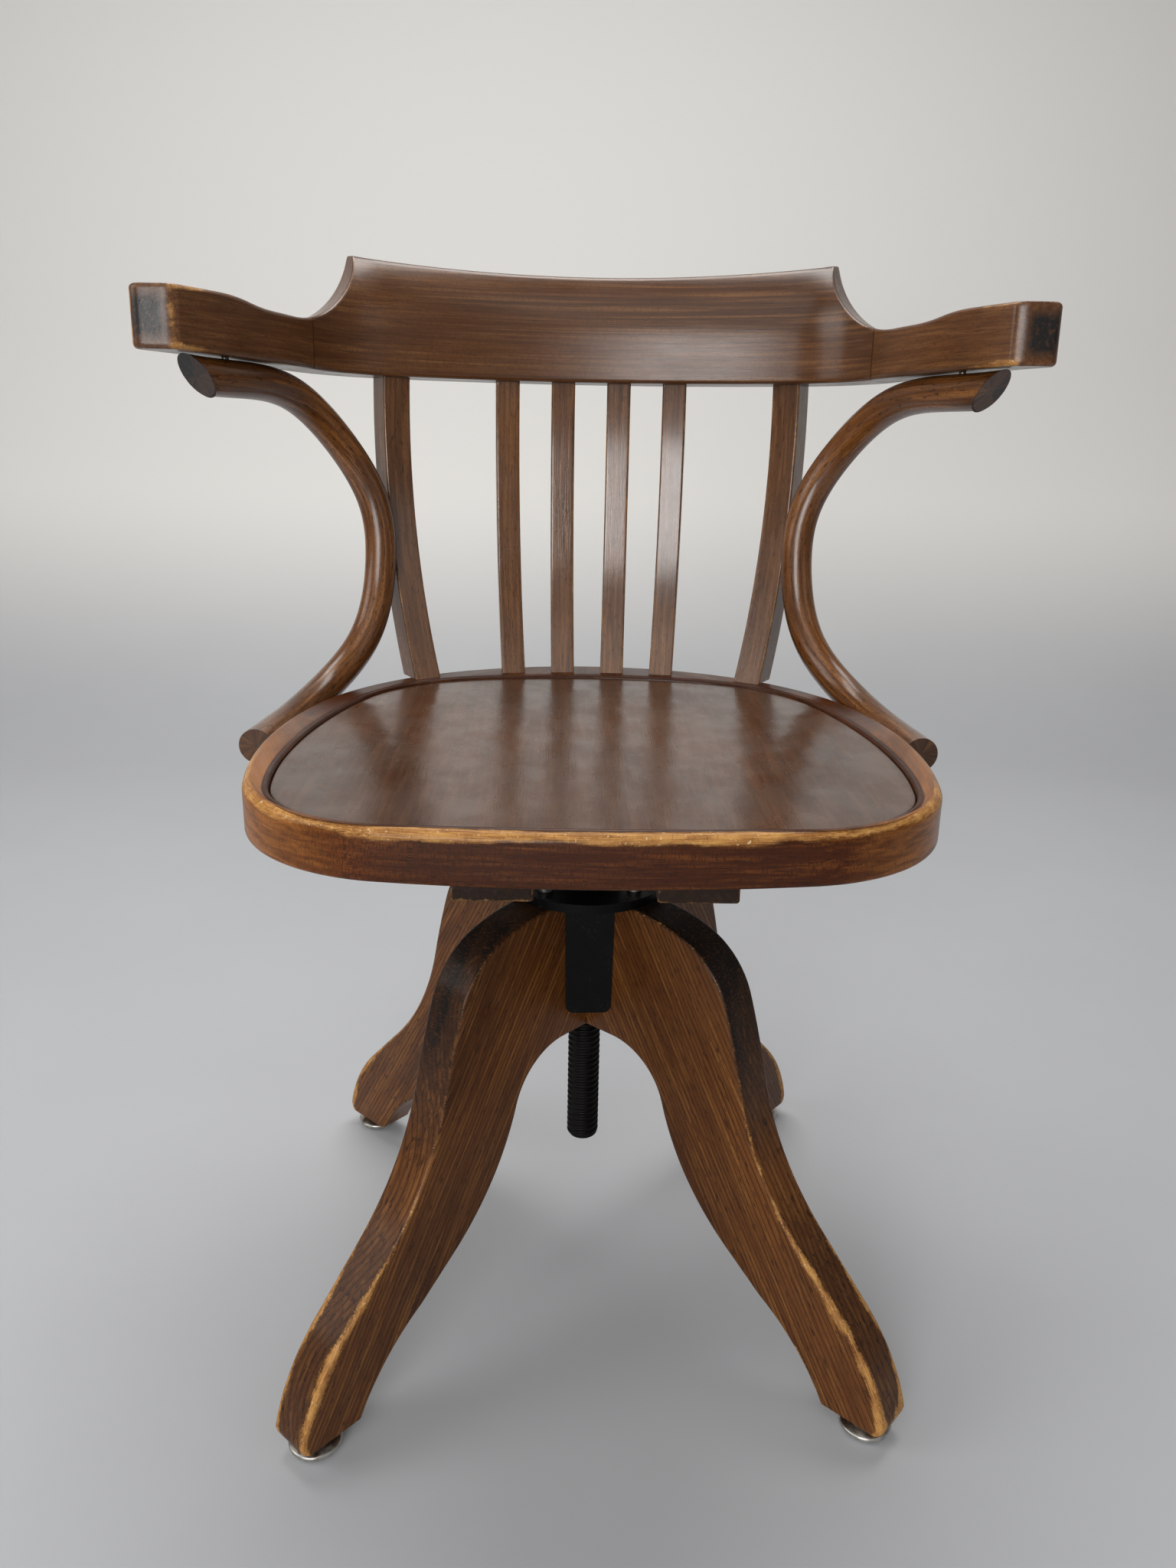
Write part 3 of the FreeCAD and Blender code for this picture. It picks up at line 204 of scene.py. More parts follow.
railWood = woodFinish(
    "railWood", deep=(0.055, 0.018, 0.0045), mid=(0.140, 0.052, 0.0155), light=(0.235, 0.104, 0.034),
    fleckMix=0.35, rayMix=0.35, gloss=0.27, coat=0.4, coatRough=0.2, wearWidth=3.0)
ringWood = woodFinish(
    "ringWood", deep=(0.052, 0.0105, 0.0015), mid=(0.105, 0.025, 0.0035), light=(0.22, 0.068, 0.012),
    faded=(0.50, 0.185, 0.034), rings=1100, fleckMix=0.7, rayMix=0.85, ray=950, wearWidth=3.0,
    gloss=0.26, coat=0.16, shine=0.14)
bowWood = woodFinish(
    "bowWood", deep=(0.060, 0.019, 0.004), mid=(0.19, 0.066, 0.0145), light=(0.40, 0.165, 0.042),
    burnt=(0.003, 0.0022, 0.002), fleckMix=0.8, rayMix=0.4, gloss=0.24, coat=0.5, coatRough=0.14)
slatWood = woodFinish(
    "slatWood", deep=(0.085, 0.031, 0.009), mid=(0.190, 0.076, 0.023), light=(0.30, 0.135, 0.048),
    fleckMix=0.6, gloss=0.22, coat=1.0, coatRough=0.15)
legWood = woodFinish(
    "legWood", deep=(0.050, 0.0145, 0.003), mid=(0.165, 0.056, 0.0115), light=(0.31, 0.128, 0.030),
    rings=2100, ringMix=0.7, ringWander=0.012, fleck=600, fleckMix=0.8, gloss=0.36, rayMix=0.2,
    wearWidth=4.4, wearRag=5.4, coat=0.15, shine=0.18)
# the battens' very dark colour is partly their own and partly painted shade under the seat
battenWoodAndShade = woodFinish(
    "battenWoodAndShade", deep=(0.012, 0.006, 0.003), mid=(0.028, 0.013, 0.007), light=(0.05, 0.022, 0.012),
    gloss=0.5, coat=0.0, shine=0.2)
panelWood = woodFinish(
    "panelWood", deep=(0.046, 0.0165, 0.006), mid=(0.098, 0.037, 0.0135), light=(0.155, 0.065, 0.025),
    burnt=(0.020, 0.007, 0.003), rings=420, ringMix=0.2, rayMix=0.1, gloss=0.2, shine=0.36, coat=0.3,
    coatRough=0.12, relief=0.06, streakMix=0.5, scratch=0.45, swayHeight=14.0)

# Metals and rubber
plainMetal = dict(rubMix=0.5, roughSpread=0.2, metal=0.0, shine=0.5)


def metalFinish(name, **changes):
    # A cast, plated or moulded face: clouds of two colours, rubbed where both cloud and grit are high
    look = dict(plainMetal, **changes)
    material, tree, shader = newMaterial(name)
    place = addNode(tree, "ShaderNodeTexCoord").outputs["Object"]
    cloud = noise(place, look["cloud"], 5, 0.6)
    grit = noise(place, look["grit"], 3, 0.6)
    base = blend(between(cloud, 0.35, 0.65), look["dark"], look["colour"])
    rub = times(between(grit, 0.56, 0.66), between(cloud, 0.5, 0.62))
    setShader(shader, {
        "Base Color": blend(times(rub, look["rubMix"]), base, look["rub"]),
        "Roughness": between(cloud, 0.3, 0.7, look["rough"], look["rough"] + look["roughSpread"]),
        "Normal": bumpFrom(grit, look["relief"] * mm),
        "Metallic": look["metal"], "Specular IOR Level": look["shine"]})
    return material


# the iron's and the spindle's near-black colours are partly their own black and partly painted shade under the
# seat
blackIronAndShade = metalFinish(
    "blackIronAndShade", dark=(0.0008, 0.0008, 0.0009), colour=(0.002, 0.002, 0.0021), rub=(0.03, 0.027, 0.025),
    cloud=40, grit=700, rubMix=0.7, rough=0.42, relief=0.12, shine=0.12)
spindleSteelAndShade = metalFinish(
    "spindleSteelAndShade", dark=(0.0015, 0.001, 0.0008), colour=(0.004, 0.0025, 0.002), rub=(0.03, 0.018, 0.012),
    cloud=60, grit=900, rubMix=0.6, rough=0.4, relief=0.08, shine=0.14)
screwSteel = metalFinish(
    "screwSteel", dark=(0.25, 0.24, 0.23), colour=(0.42, 0.41, 0.39), rub=(0.16, 0.13, 0.11),
    cloud=90, grit=900, rough=0.35, relief=0.04, metal=1.0)
nickelPlate = metalFinish(
    "nickelPlate", dark=(0.42, 0.40, 0.36), colour=(0.66, 0.64, 0.60), rub=(0.20, 0.16, 0.12),
    cloud=110, grit=800, rubMix=0.35, rough=0.26, relief=0.02, metal=1.0)
blackRubber = metalFinish(
    "blackRubber", dark=(0.015, 0.015, 0.015), colour=(0.03, 0.03, 0.03), rub=(0.05, 0.05, 0.05),
    cloud=60, grit=600, rough=0.6, relief=0.08)
print("finishes made:", len(bpy.data.materials))


# Lines and surfaces
def chainLine(start, heading, moves, step=1.0):
    # Runs and arcs joined end to end. Run: p + t (cos h, sin h), and its last number is a new heading at its
    # end. Arc from heading h0 to h: p + R (sin h - sin h0, cos h0 - cos h), R negative for a right turn.
    points, headings = [np.array([start], float)], [np.array([heading], float)]
    for kind, amount, target in moves:
        last, angle = points[-1][-1], headings[-1][-1]
        if kind == "run":
            count = max(2, int(amount / step))
            far = np.linspace(0, amount, count + 1)[1:, None]
            points.append(last + far * [math.cos(math.radians(angle)), math.sin(math.radians(angle))])
            headings.append(np.full(count, angle))
            headings[-1][-1] = angle if target is None else target
        else:
            count = max(6, int(abs(math.radians(target - angle)) * amount / step))
            turn = np.linspace(angle, target, count + 1)[1:]
            radius = amount * math.copysign(1, target - angle)
            now, before = np.radians(turn), math.radians(angle)
            away = np.stack([np.sin(now) - math.sin(before), math.cos(before) - np.cos(now)], -1)
            points.append(last + radius * away)
            headings.append(turn)
    return np.concatenate(points), np.concatenate(headings)


def lineLength(line):
    # length of the line from its start to each of its points
    return np.concatenate([[0], np.cumsum(np.linalg.norm(np.diff(line, axis=0), axis=1))])


def pick(line, key, wanted):
    # a line's points at wanted values of a rising key
    return np.stack([np.interp(wanted, key, line[:, k]) for k in range(line.shape[1])], -1)


def ramp(value, start, end):
    # 0 at the start and before it, 1 at the end and past it, even between them
    return np.clip((value - start) / (end - start), 0, 1)


def turned(x, y, angle):
    # (x, y) turned about the origin: (x cos a - y sin a, x sin a + y cos a)
    return x * math.cos(angle) - y * math.sin(angle), x * math.sin(angle) + y * math.cos(angle)


def spread(*values):
    # numbers and arrays side by side as vectors
    return np.stack(np.broadcast_arrays(*values), -1)


def raised(flat, height):
    # points of a plan with a height beside them
    return np.concatenate([flat, np.full((*flat.shape[:-1], 1), height)], -1)


def edgeRow(inner, rounds):
    # samples over one axis of a rounded block: core from -1 to 1, edge tan(angle) past either end
    tilt = np.tan(np.radians(np.linspace(45, 0, rounds + 1)))
    tilt[-1] = 1e-4
    core = np.concatenate([np.full(rounds + 1, -1.0), inner, np.full(rounds + 1, 1.0)])
    return core, np.concatenate([-tilt, np.zeros(len(inner)), tilt[::-1]])


def nearRows(count, length, steps=(2, 5, 9, 14)):
    # core rows from -1 to 1: evenly spaced, with some close to both ends so that wear can fade in
    close = np.array([step for step in steps if step < length / 2.2]) / (length / 2)
    last = close[-1] if len(close) else 0
    middle = np.linspace(-1 + last, 1 - last, count)
    return np.unique(np.concatenate([[-1, 1], -1 + close, 1 - close, middle]).round(6))


def blockSkin(inner, rounds, corner, arris):
    # The six faces of a block as one skin of squares. A surface point is core + off. The core lies in -1..1
    # on three axes. Off is the rounding past it: corner radius in the plan of axes 0 and 1, arris radius
    # between plan and thickness. Phi climbs from the side (0) to the face (90 degrees), and off is
    # (corner - arris + arris cos phi) in the plan and arris sin phi in the thickness.
    rows = [edgeRow(row, rounds) for row in inner]
    sizes = [len(row[0]) for row in rows]
    strides = [sizes[1] * sizes[2], sizes[2], 1]
    faces = []
    for axis in range(3):
        b, c = (axis + 1) % 3, (axis + 2) % 3
        i, j = np.meshgrid(np.arange(sizes[b] - 1), np.arange(sizes[c] - 1), indexing="ij")
        low = i * strides[b] + j * strides[c]
        square = np.stack([low, low + strides[b], low + strides[b] + strides[c], low + strides[c]], -1)
        square = square.reshape(-1, 4)
        faces += [square + (sizes[axis] - 1) * strides[axis], square[:, ::-1]]
    used, faces = np.unique(np.concatenate(faces), return_inverse=True)
    place = np.unravel_index(used, sizes)
    core, edge = (np.stack([rows[k][part][place[k]] for k in range(3)], -1) for part in (0, 1))
    flat = np.hypot(edge[:, 0], edge[:, 1])
    phi = climb(edge)
    out = np.where(flat > 0, corner - arris + arris * np.cos(phi), 0)
    safe = np.where(flat > 0, flat, 1)
    off = np.stack([edge[:, 0] / safe * out, edge[:, 1] / safe * out,
                    np.sign(edge[:, 2]) * arris * np.sin(phi)], -1)
    return core, edge, off, faces.reshape(-1, 4)


def climb(edge):
    # angle of a rounded place above the plan
    return np.arctan2(np.abs(edge[:, 2]), np.maximum(np.abs(edge[:, 0]), np.abs(edge[:, 1])))


def gridFaces(rows, columns, around=True):
    # squares between neighbouring rows, joined end to end along each row when around
    i, j = np.meshgrid(np.arange(rows - 1), np.arange(columns if around else columns - 1), indexing="ij")
    here, above = i * columns, (i + 1) * columns
    k = (j + 1) % columns
    return np.stack([here + j, here + k, above + k, above + j], -1).reshape(-1, 4)


def turnedSkin(profile, sides):
    # a profile of (radius, height) points turned round Z: (r cos a, r sin a, h), closed where r is 0
    turn = np.linspace(0, 2 * np.pi, sides, endpoint=False)
    places = spread(profile[:, :1] * np.cos(turn), profile[:, :1] * np.sin(turn), profile[:, 1:])
    return places, gridFaces(len(profile), sides)


def softCorner(points, radius, rounds):
    # A (radius, height) profile with every inner corner rounded: quadratic arc between points set back by
    # the radius, or by less than half of the shorter side
    before, here, after = points[:-2], points[1:-1], points[2:]
    back, ahead = before - here, after - here
    backLong = np.linalg.norm(back, axis=1, keepdims=True)
    aheadLong = np.linalg.norm(ahead, axis=1, keepdims=True)
    radius = np.minimum(radius, np.minimum(backLong, aheadLong) * 0.49)
    start, end = here + back / backLong * radius, here + ahead / aheadLong * radius
    t = np.linspace(0, 1, rounds + 1)[None, :, None]
    arcs = (1 - t) ** 2 * start[:, None] + 2 * t * (1 - t) * here[:, None] + t ** 2 * end[:, None]
    return np.concatenate([points[:1], arcs.reshape(-1, 2), points[-1:]])


def splinePath(spots, step):
    # Smooth path through the spots: cubics between chord-length knots with equal second derivatives,
    # end directions from the cubic through the nearest four spots.
    gaps = np.linalg.norm(np.diff(spots, axis=0), axis=1)
    knots = np.concatenate([[0], np.cumsum(gaps)])
    count = len(spots)
    matrix, right = np.zeros((count, count)), np.zeros((count, 3))
    middle = np.arange(1, count - 1)
    matrix[middle, middle - 1] = 1 / gaps[:-1]
    matrix[middle, middle] = 2 / gaps[:-1] + 2 / gaps[1:]
    matrix[middle, middle + 1] = 1 / gaps[1:]
    slope = np.diff(spots, axis=0) / gaps[:, None]
    right[1:-1] = 3 * (slope[:-1] / gaps[:-1, None] + slope[1:] / gaps[1:, None])
    matrix[0, 0] = matrix[-1, -1] = 1
    for row, near in ((0, slice(0, 4)), (-1, slice(count - 4, count))):
        powers = np.vander(knots[near] - knots[row], 4)
        right[row] = np.linalg.solve(powers, spots[near])[2]
    tangents = np.linalg.solve(matrix, right)
    where = np.linspace(0, knots[-1], int(knots[-1] / step) + 1)
    span = np.clip(np.searchsorted(knots, where, side="right") - 1, 0, count - 2)
    h = gaps[span][:, None]
    t = ((where - knots[span]) / gaps[span])[:, None]
    return ((2 * t**3 - 3 * t**2 + 1) * spots[span] + (t**3 - 2 * t**2 + t) * h * tangents[span]
            + (3 * t**2 - 2 * t**3) * spots[span + 1] + (t**3 - t**2) * h * tangents[span + 1])


def arrisGap(*sides):
    # Distance to the nearest arris. Each side is (place, size) one way across the piece,
    # and the gap is the second smallest of the distances to the faces.
    return np.sort(np.stack([np.minimum(place, size - place) for place, size in sides], -1), axis=1)[:, 1]


def weld(mesh, distance, flatAngle=None):
    # points nearer than the distance become one, and faces that meet at less than the angle are joined
    shell = bmesh.new()
    shell.from_mesh(mesh)
    bmesh.ops.remove_doubles(shell, verts=shell.verts, dist=distance)
    if flatAngle:
        limit = math.radians(flatAngle)
        bmesh.ops.dissolve_limit(shell, angle_limit=limit, verts=shell.verts, edges=shell.edges)
    shell.to_mesh(mesh)
    shell.free()


def placePiece(mesh, finish, body, node, sharp):
    # the mesh as a piece that rides on a body and stands for a node; edges past the sharp angle stay crisp
    mesh.materials.clear()
    mesh.materials.append(finish)
    mesh.shade_smooth()
    mesh.set_sharp_from_angle(angle=math.radians(sharp))
    piece = bpy.data.objects.new(mesh.name, mesh)
    bpy.context.scene.collection.objects.link(piece)
    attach(piece, body)
    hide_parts(node)
    return piece


def makePiece(node, ending, places, faces, finish, body, grain=None, touch=None, sharp=50):
    # Points and squares as a mesh, its faces turned outward by the sign of the volume, which is the sum of
    # p0 . (p1 x p2) / 6. The wood's "grain" and "finish" (grain and touch here) stay on its points.
    places = places.reshape(-1, 3)
    a, b, c, d = (places[faces[:, k]] for k in range(4))
    volume = np.einsum("ij,ij->", a, np.cross(b, c)) + np.einsum("ij,ij->", a, np.cross(c, d))
    if volume < 0:
        faces = faces[:, ::-1]
    mesh = bpy.data.meshes.new(node + ending)
    mesh.from_pydata((places * mm).tolist(), [], faces.tolist())
    for label, values in (("grain", grain), ("finish", touch)):
        if values is not None:
            layer = mesh.attributes.new(label, "FLOAT_VECTOR", "POINT")
            layer.data.foreach_set("vector", np.asarray(values, np.float32).reshape(-1))
    weld(mesh, 1e-6)
    placePiece(mesh, finish, body, node, sharp)


# Base: four legs round the spindle, each on its glide
base = dict(turn=2.4, quarters=dict(front_left=225, front_right=315, rear_right=45, rear_left=135))
leg = dict(
    topHeight=340, archHeight=229, sole=13, length=440, width=66, thickness=33, arris=3, gap=0.3,
    bore=13.9, wellFoot=299.7, well=20.3, toeRound=9, toeEnd=-165,
    outer=(("run", 58, None), ("arc", 140, -20), ("arc", 65, -71.5), ("arc", 650, -77), ("arc", 215, -45.5),
           ("run", 56, None), ("arc", 143, -75)),
    inner=(("run", 42, None), ("arc", 52, -73), ("arc", 190, -38), ("run", 40, -31)), scoop=(-31, -62),
    # share of the leg's length, and the lengths along the outer and the inner line that face each other there
    pairs=((0, 0, 0), (0.105, 52, 36), (0.19, 100, 58), (0.293, 160, 84), (0.39, 215, 112), (0.54, 285, 166),
           (0.71, 346, 246), (0.832, 397, 297), (0.923, 440, 330)),
    grainLean=58,
    # heights between which each kind of wear, stain and painted shade grows to its full share (the darkening
    # toward the top lies under the seat and is partly painted shade)
    shin=(250, 170), toe=(150, 30), stainAndShadeUp=(175, 265), shadeUnderSeat=(270, 330), fadedAt=165, fadedOver=28)


def legLines():
    # Outer line down to a rounded toe, inner line down to the scoop that ends at the sole:
    # a scoop that falls by f from heading a to b has radius f / (cos a - cos b).
    outer, headings = chainLine((0, leg["topHeight"]), 0, leg["outer"])
    last = math.radians(headings[-1])
    toe = math.cos(last) - math.cos(math.radians(leg["toeEnd"]))
    fall = outer[-1, 1] - leg["sole"] - leg["toeRound"] * toe
    tip, _ = chainLine(outer[-1], headings[-1], (("run", fall / -math.sin(last), None),
                                                 ("arc", leg["toeRound"], leg["toeEnd"])))
    inner, _ = chainLine((0, leg["archHeight"]), 0, leg["inner"])
    start, end = leg["scoop"]
    drop = (inner[-1, 1] - leg["sole"]) / (math.cos(math.radians(start)) - math.cos(math.radians(end)))
    scoop, _ = chainLine(inner[-1], start, (("arc", drop, end),))
    return np.concatenate([outer, tip[1:]]), np.concatenate([inner, scoop[1:]])


def makeLeg(label, quarter):
    # A leg is ruled between its outer and inner lines: inner(u) + (outer(u) - inner(u)) v, thickness across
    outer, inner = legLines()
    outerLong, innerLong = lineLength(outer), lineLength(inner)
    shares, outerMarks, innerMarks = np.array(leg["pairs"] + ((1.0, outerLong[-1], innerLong[-1]),)).T
    length, thickness, arris = leg["length"], leg["thickness"], leg["arris"]
    inside = nearRows(90, length), nearRows(12, leg["width"]), nearRows(6, thickness)
    core, _, off, faces = blockSkin(inside, 4, arris, arris)
    along = arris + (core[:, 0] + 1) / 2 * (length - 2 * arris) + off[:, 0]
    u = along / length
    outerSpot = pick(outer, outerLong, np.interp(u, shares, outerMarks))
    innerSpot = pick(inner, innerLong, np.interp(u, shares, innerMarks))
    width = np.linalg.norm(outerSpot - innerSpot, axis=1)
    wide = arris + (core[:, 1] + 1) / 2 * (width - 2 * arris) + off[:, 1]
    half = thickness / 2
    thick = core[:, 2] * (half - arris) + off[:, 2]
    x, z = (innerSpot + (outerSpot - innerSpot) * (wide / width)[:, None]).T
    # the mitre stops short of its neighbours and of the hub iron's tube
    bore = np.where(z > leg["wellFoot"], leg["well"], leg["bore"])
    x = np.maximum(x, np.maximum(np.abs(thick) + leg["gap"], np.sqrt(np.maximum(bore**2 - thick**2, 0))))
    places = spread(*turned(x, thick, math.radians(quarter + base["turn"])), z)
    # straight grain runs down the leg's length, and each leg is cut from its own place in the plank
    grain = spread(*turned(x, z, math.radians(leg["grainLean"])), thick) * mm
    grain = grain + np.array([quarter * 0.013, quarter * 0.007, 0])
    gap = arrisGap((wide, width), (thick + half, thickness))
    gap = np.minimum(gap, np.hypot(length - along, np.minimum(wide, width - wide)) * 0.5 + 4)
    upper = wide / width
    worn = 0.10 + 0.25 * ramp(z, *leg["shin"]) * upper + 1.25 * ramp(z, *leg["toe"]) * (0.2 + 0.8 * upper)
    outerFace = ramp(wide - width, -2.5, 0)
    faded = 0.42 - 0.5 * np.exp(-((z - leg["fadedAt"]) / leg["fadedOver"]) ** 2)
    # the outer face is darker, toward the top partly stain and partly painted shade under the seat; the top of
    # every other face gets painted shade under the seat
    dark = outerFace * np.maximum(0.95 * ramp(z, *leg["stainAndShadeUp"]), faded)
    dark = dark + 0.25 * ramp(z, *leg["shadeUnderSeat"]) * (1 - outerFace)
    touch = spread(gap, worn, np.clip(dark, -1, 1))
    makePiece(label, "_wood", places, faces, legWood, "base", grain, touch)


for corner, quarter in base["quarters"].items():
    makeLeg("leg_" + corner, quarter)
print("legs made")

glide = dict(circle=273, sides=72, soften=1.2,
             line=((0, 0), (9, 0.05), (14.5, 1.0), (17.8, 3.4), (18.5, 5.4), (18.2, 6.9), (16.8, 7.6),
                   (13.5, 8.7), (10.4, 9.0), (10.0, 9.6), (10.0, 12.9), (0, 12.9)))


def makeGlide(label, quarter):
    # a domed pan and the core above it, a softened profile turned round the nail
    places, faces = turnedSkin(softCorner(np.array(glide["line"], float), glide["soften"], 5), glide["sides"])
    places[..., :2] += turned(glide["circle"], 0, math.radians(quarter + base["turn"]))
    makePiece(label, "_pan", places, faces, nickelPlate, "base")


for corner, quarter in base["quarters"].items():
    makeGlide("glide_" + corner, quarter)

# Spindle
spindle = dict(radius=12.7, depth=1.7, pitch=5, foot=116, top=421.5, footRound=5, step=0.5, sides=72)


def makeSpindle():
    # A screw: radius = R - depth x groove(phase), phase = (height - pitch x turn) / pitch, groove a rounded V
    # The thread fades into the round at the foot: radius up to R - r + sqrt(r^2 - (foot + r - height)^2).
    foot, top, pitch = spindle["foot"], spindle["top"], spindle["pitch"]
    footRound, sides = spindle["footRound"], spindle["sides"]
    height = np.arange(foot, top + 0.01, spindle["step"])[:, None]
    turn = np.arange(sides) / sides
    phase = ((height - pitch * turn) / pitch) % 1.0
    groove = np.clip((np.cos(2 * np.pi * phase) + 0.55) / 1.1, 0, 1)
    below = np.clip(foot + footRound - height, 0, footRound)
    limit = spindle["radius"] - footRound + np.sqrt(footRound ** 2 - below**2)
    radius = np.minimum(spindle["radius"] - spindle["depth"] * groove, limit)
    angle = 2 * np.pi * turn
    skin = spread(radius * np.cos(angle), radius * np.sin(angle), height)
    caps = [np.zeros((1, sides, 3)) + [0, 0, end] for end in (foot, top)]
    skin = np.concatenate([caps[0], skin, caps[1]])
    makePiece("spindle", "_thread", skin, gridFaces(len(skin), sides), spindleSteelAndShade, "seat",
              sharp=60)


makeSpindle()


# Iron, rubber and screws that keep the CAD's own shape
def dressCopy(node, finish, body, ease):
    # a merged copy of a CAD node, its edges eased by a small bevel
    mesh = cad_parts[node].data.copy()
    mesh.name = node + "_dressed"
    weld(mesh, 2e-6, 1.0)
    piece = placePiece(mesh, finish, body, node, 35)
    bevel = piece.modifiers.new("ease", "BEVEL")
    bevel.width, bevel.segments = ease * mm, 2
    bevel.limit_method, bevel.angle_limit = "ANGLE", math.radians(40)


dressCopy("hub_iron", blackIronAndShade, "base", 0.8)
dressCopy("spider", blackIronAndShade, "seat", 0.6)
dressCopy("buffer_washer", blackRubber, "carrier", 0.4)
dressCopy("plate_screws", screwSteel, "base", 0.25)
for node in ("spider_screws", "batten_screws", "bow_screws"):
    dressCopy(node, screwSteel, "seat", 0.25)
dressCopy("spindle_pin", spindleSteelAndShade, "seat", 0.3)
print("iron, spindle and glides made")

# Seat: a bent ring and the pressed panel in it
seat = dict(
    top=467, under=434, round=6, lowRound=2.5, ledge=459.3, around=480, lineStep=0.5,
    outer=dict(half=227, front=240, back=198, widest=60, turns=(8, 78, 105, 150), sides=(400, 400)),
    opening=dict(half=182, front=198, back=144, widest=60, turns=(8, 78, 105, 150), sides=(400, 400)),
    panel=dict(half=203, front=227, back=154, widest=95, turns=(4, 80, 108, 165), sides=(350, 520)),
    # groove and bead beside the panel: (inset from the panel's line, drop from the ring's top)
    bead=((-5.2, 0.1), (-4.6, 0.55), (-4.2, 0.6), (-3.8, 0.4), (-3.2, 0.05), (-2.4, 0), (-1.6, 0.25),
          (-1.0, 0.8), (-0.6, 1.6), (-0.4, 3)),
    # under side of the ring beside the opening: (inset, rise)
    lip=((0, 12), (0, 1.5), (-0.5, 0.4), (-1.5, 0)),
    # The upper arris is worn out from this inset and drop, more and more toward the front (y from and to).
    # The stain fades to gold toward the front too, where x is past a share of the half width.
    wornInset=2.0, wornDrop=1.5, wornToward=(-20, -220), goldToward=(40, -80), goldBeside=(0.45, 0.9),
    # the groove's tone is painted shade in the groove beside the panel
    middleTone=0.35, gold=0.95, backTone=0.1, grooveShade=0.45,
    panelTop=465, panelUnder=459, panelMiddle=-36.5, dish=2.2,
    rimShares=(1, 0.9995, 0.998, 0.994, 0.985, 0.97), rimDrops=(1.2, 0.5, 0.12, 0, 0, 0))


def seatLine(lines):
    # Closed seat outline of twelve arcs, the same left and right. The four free radii solve two pairs of
    # equations: x and y from the front middle to the widest point, and from there to the back.
    t1, t2, t3, t4 = lines["turns"]
    first, second, third, fourth = np.radians(lines["turns"])
    frontSide, rearSide = lines["sides"]
    half, widest = lines["half"], lines["widest"]
    sin, cos = math.sin, math.cos
    front, corner = np.linalg.solve(
        [[sin(first), sin(second) - sin(first)], [1 - cos(first), cos(first) - cos(second)]],
        [half - frontSide * (1 - sin(second)), lines["front"] - widest - frontSide * cos(second)])
    shoulder, back = np.linalg.solve(
        [[sin(third) - sin(fourth), sin(fourth)], [cos(third) - cos(fourth), cos(fourth) + 1]],
        [half - rearSide * (1 - sin(third)), lines["back"] + widest + rearSide * cos(third)])
    radii = [front, corner, frontSide, rearSide, shoulder, back]
    turns = [t1, t2, 90, t3, t4, 180]
    turns += [360 - turn for turn in turns[-2::-1]] + [360]
    arcs = [("arc", radius, turn) for radius, turn in zip(radii + radii[::-1], turns)]
    return chainLine((0, -lines["front"]), 0, arcs, seat["lineStep"])


def seatOutlines():
    # The outlines' points at even steps along the outer one, matched where their headings agree,
    # and the outward direction (sin h, -cos h) there
    lines = {name: seatLine(seat[name]) for name in ("outer", "opening", "panel")}
    line, heading = lines["outer"]
    long = lineLength(line)
    wanted = np.interp(np.linspace(0, 1, seat["around"] + 1)[:-1], long / long[-1], heading)
    at = {}
    for name, (line, heading) in lines.items():
        rising = heading + np.arange(len(heading)) * 1e-9
        at[name] = pick(line, rising, wanted)
    angle = np.radians(wanted)
    return at, np.stack([np.sin(angle), -np.cos(angle)], -1)


def arcRow(centreInset, centreHeight, radius, start, end, count):
    # (inset, height) pairs round an arris
    angle = np.radians(np.linspace(start, end, count))
    return [(centreInset - radius * math.cos(a), centreHeight + radius * math.sin(a)) for a in angle]


def ringSection():
    # Rows of (outline, inset, height) round the ring's section: up its outer side, over the top and the bead,
    # down the rebate and the opening. A row of the top has its share of the way from the arris to the bead.
    top, under, r, low = seat["top"], seat["under"], seat["round"], seat["lowRound"]
    side = arcRow(low, under + low, low, -90, 0, 5) + [(0, under + rise) for rise in (8, 14, 20)]
    side += arcRow(r, top - r, r, 0, 90, 9)
    section = [("outer", inset, height) for inset, height in side]
    section += [("top", share, top) for share in (0.04, 0.3, 0.6, 0.9)]
    section += [("panel", inset, top - drop) for inset, drop in seat["bead"]]
    section += [("panel", seat["bead"][-1][0], seat["ledge"] + rise) for rise in (1, 0)]
    section += [("opening", 0, seat["ledge"])]
    section += [("opening", inset, under + rise) for inset, rise in seat["lip"]]
    return section + [("outer", low + 6, under)]


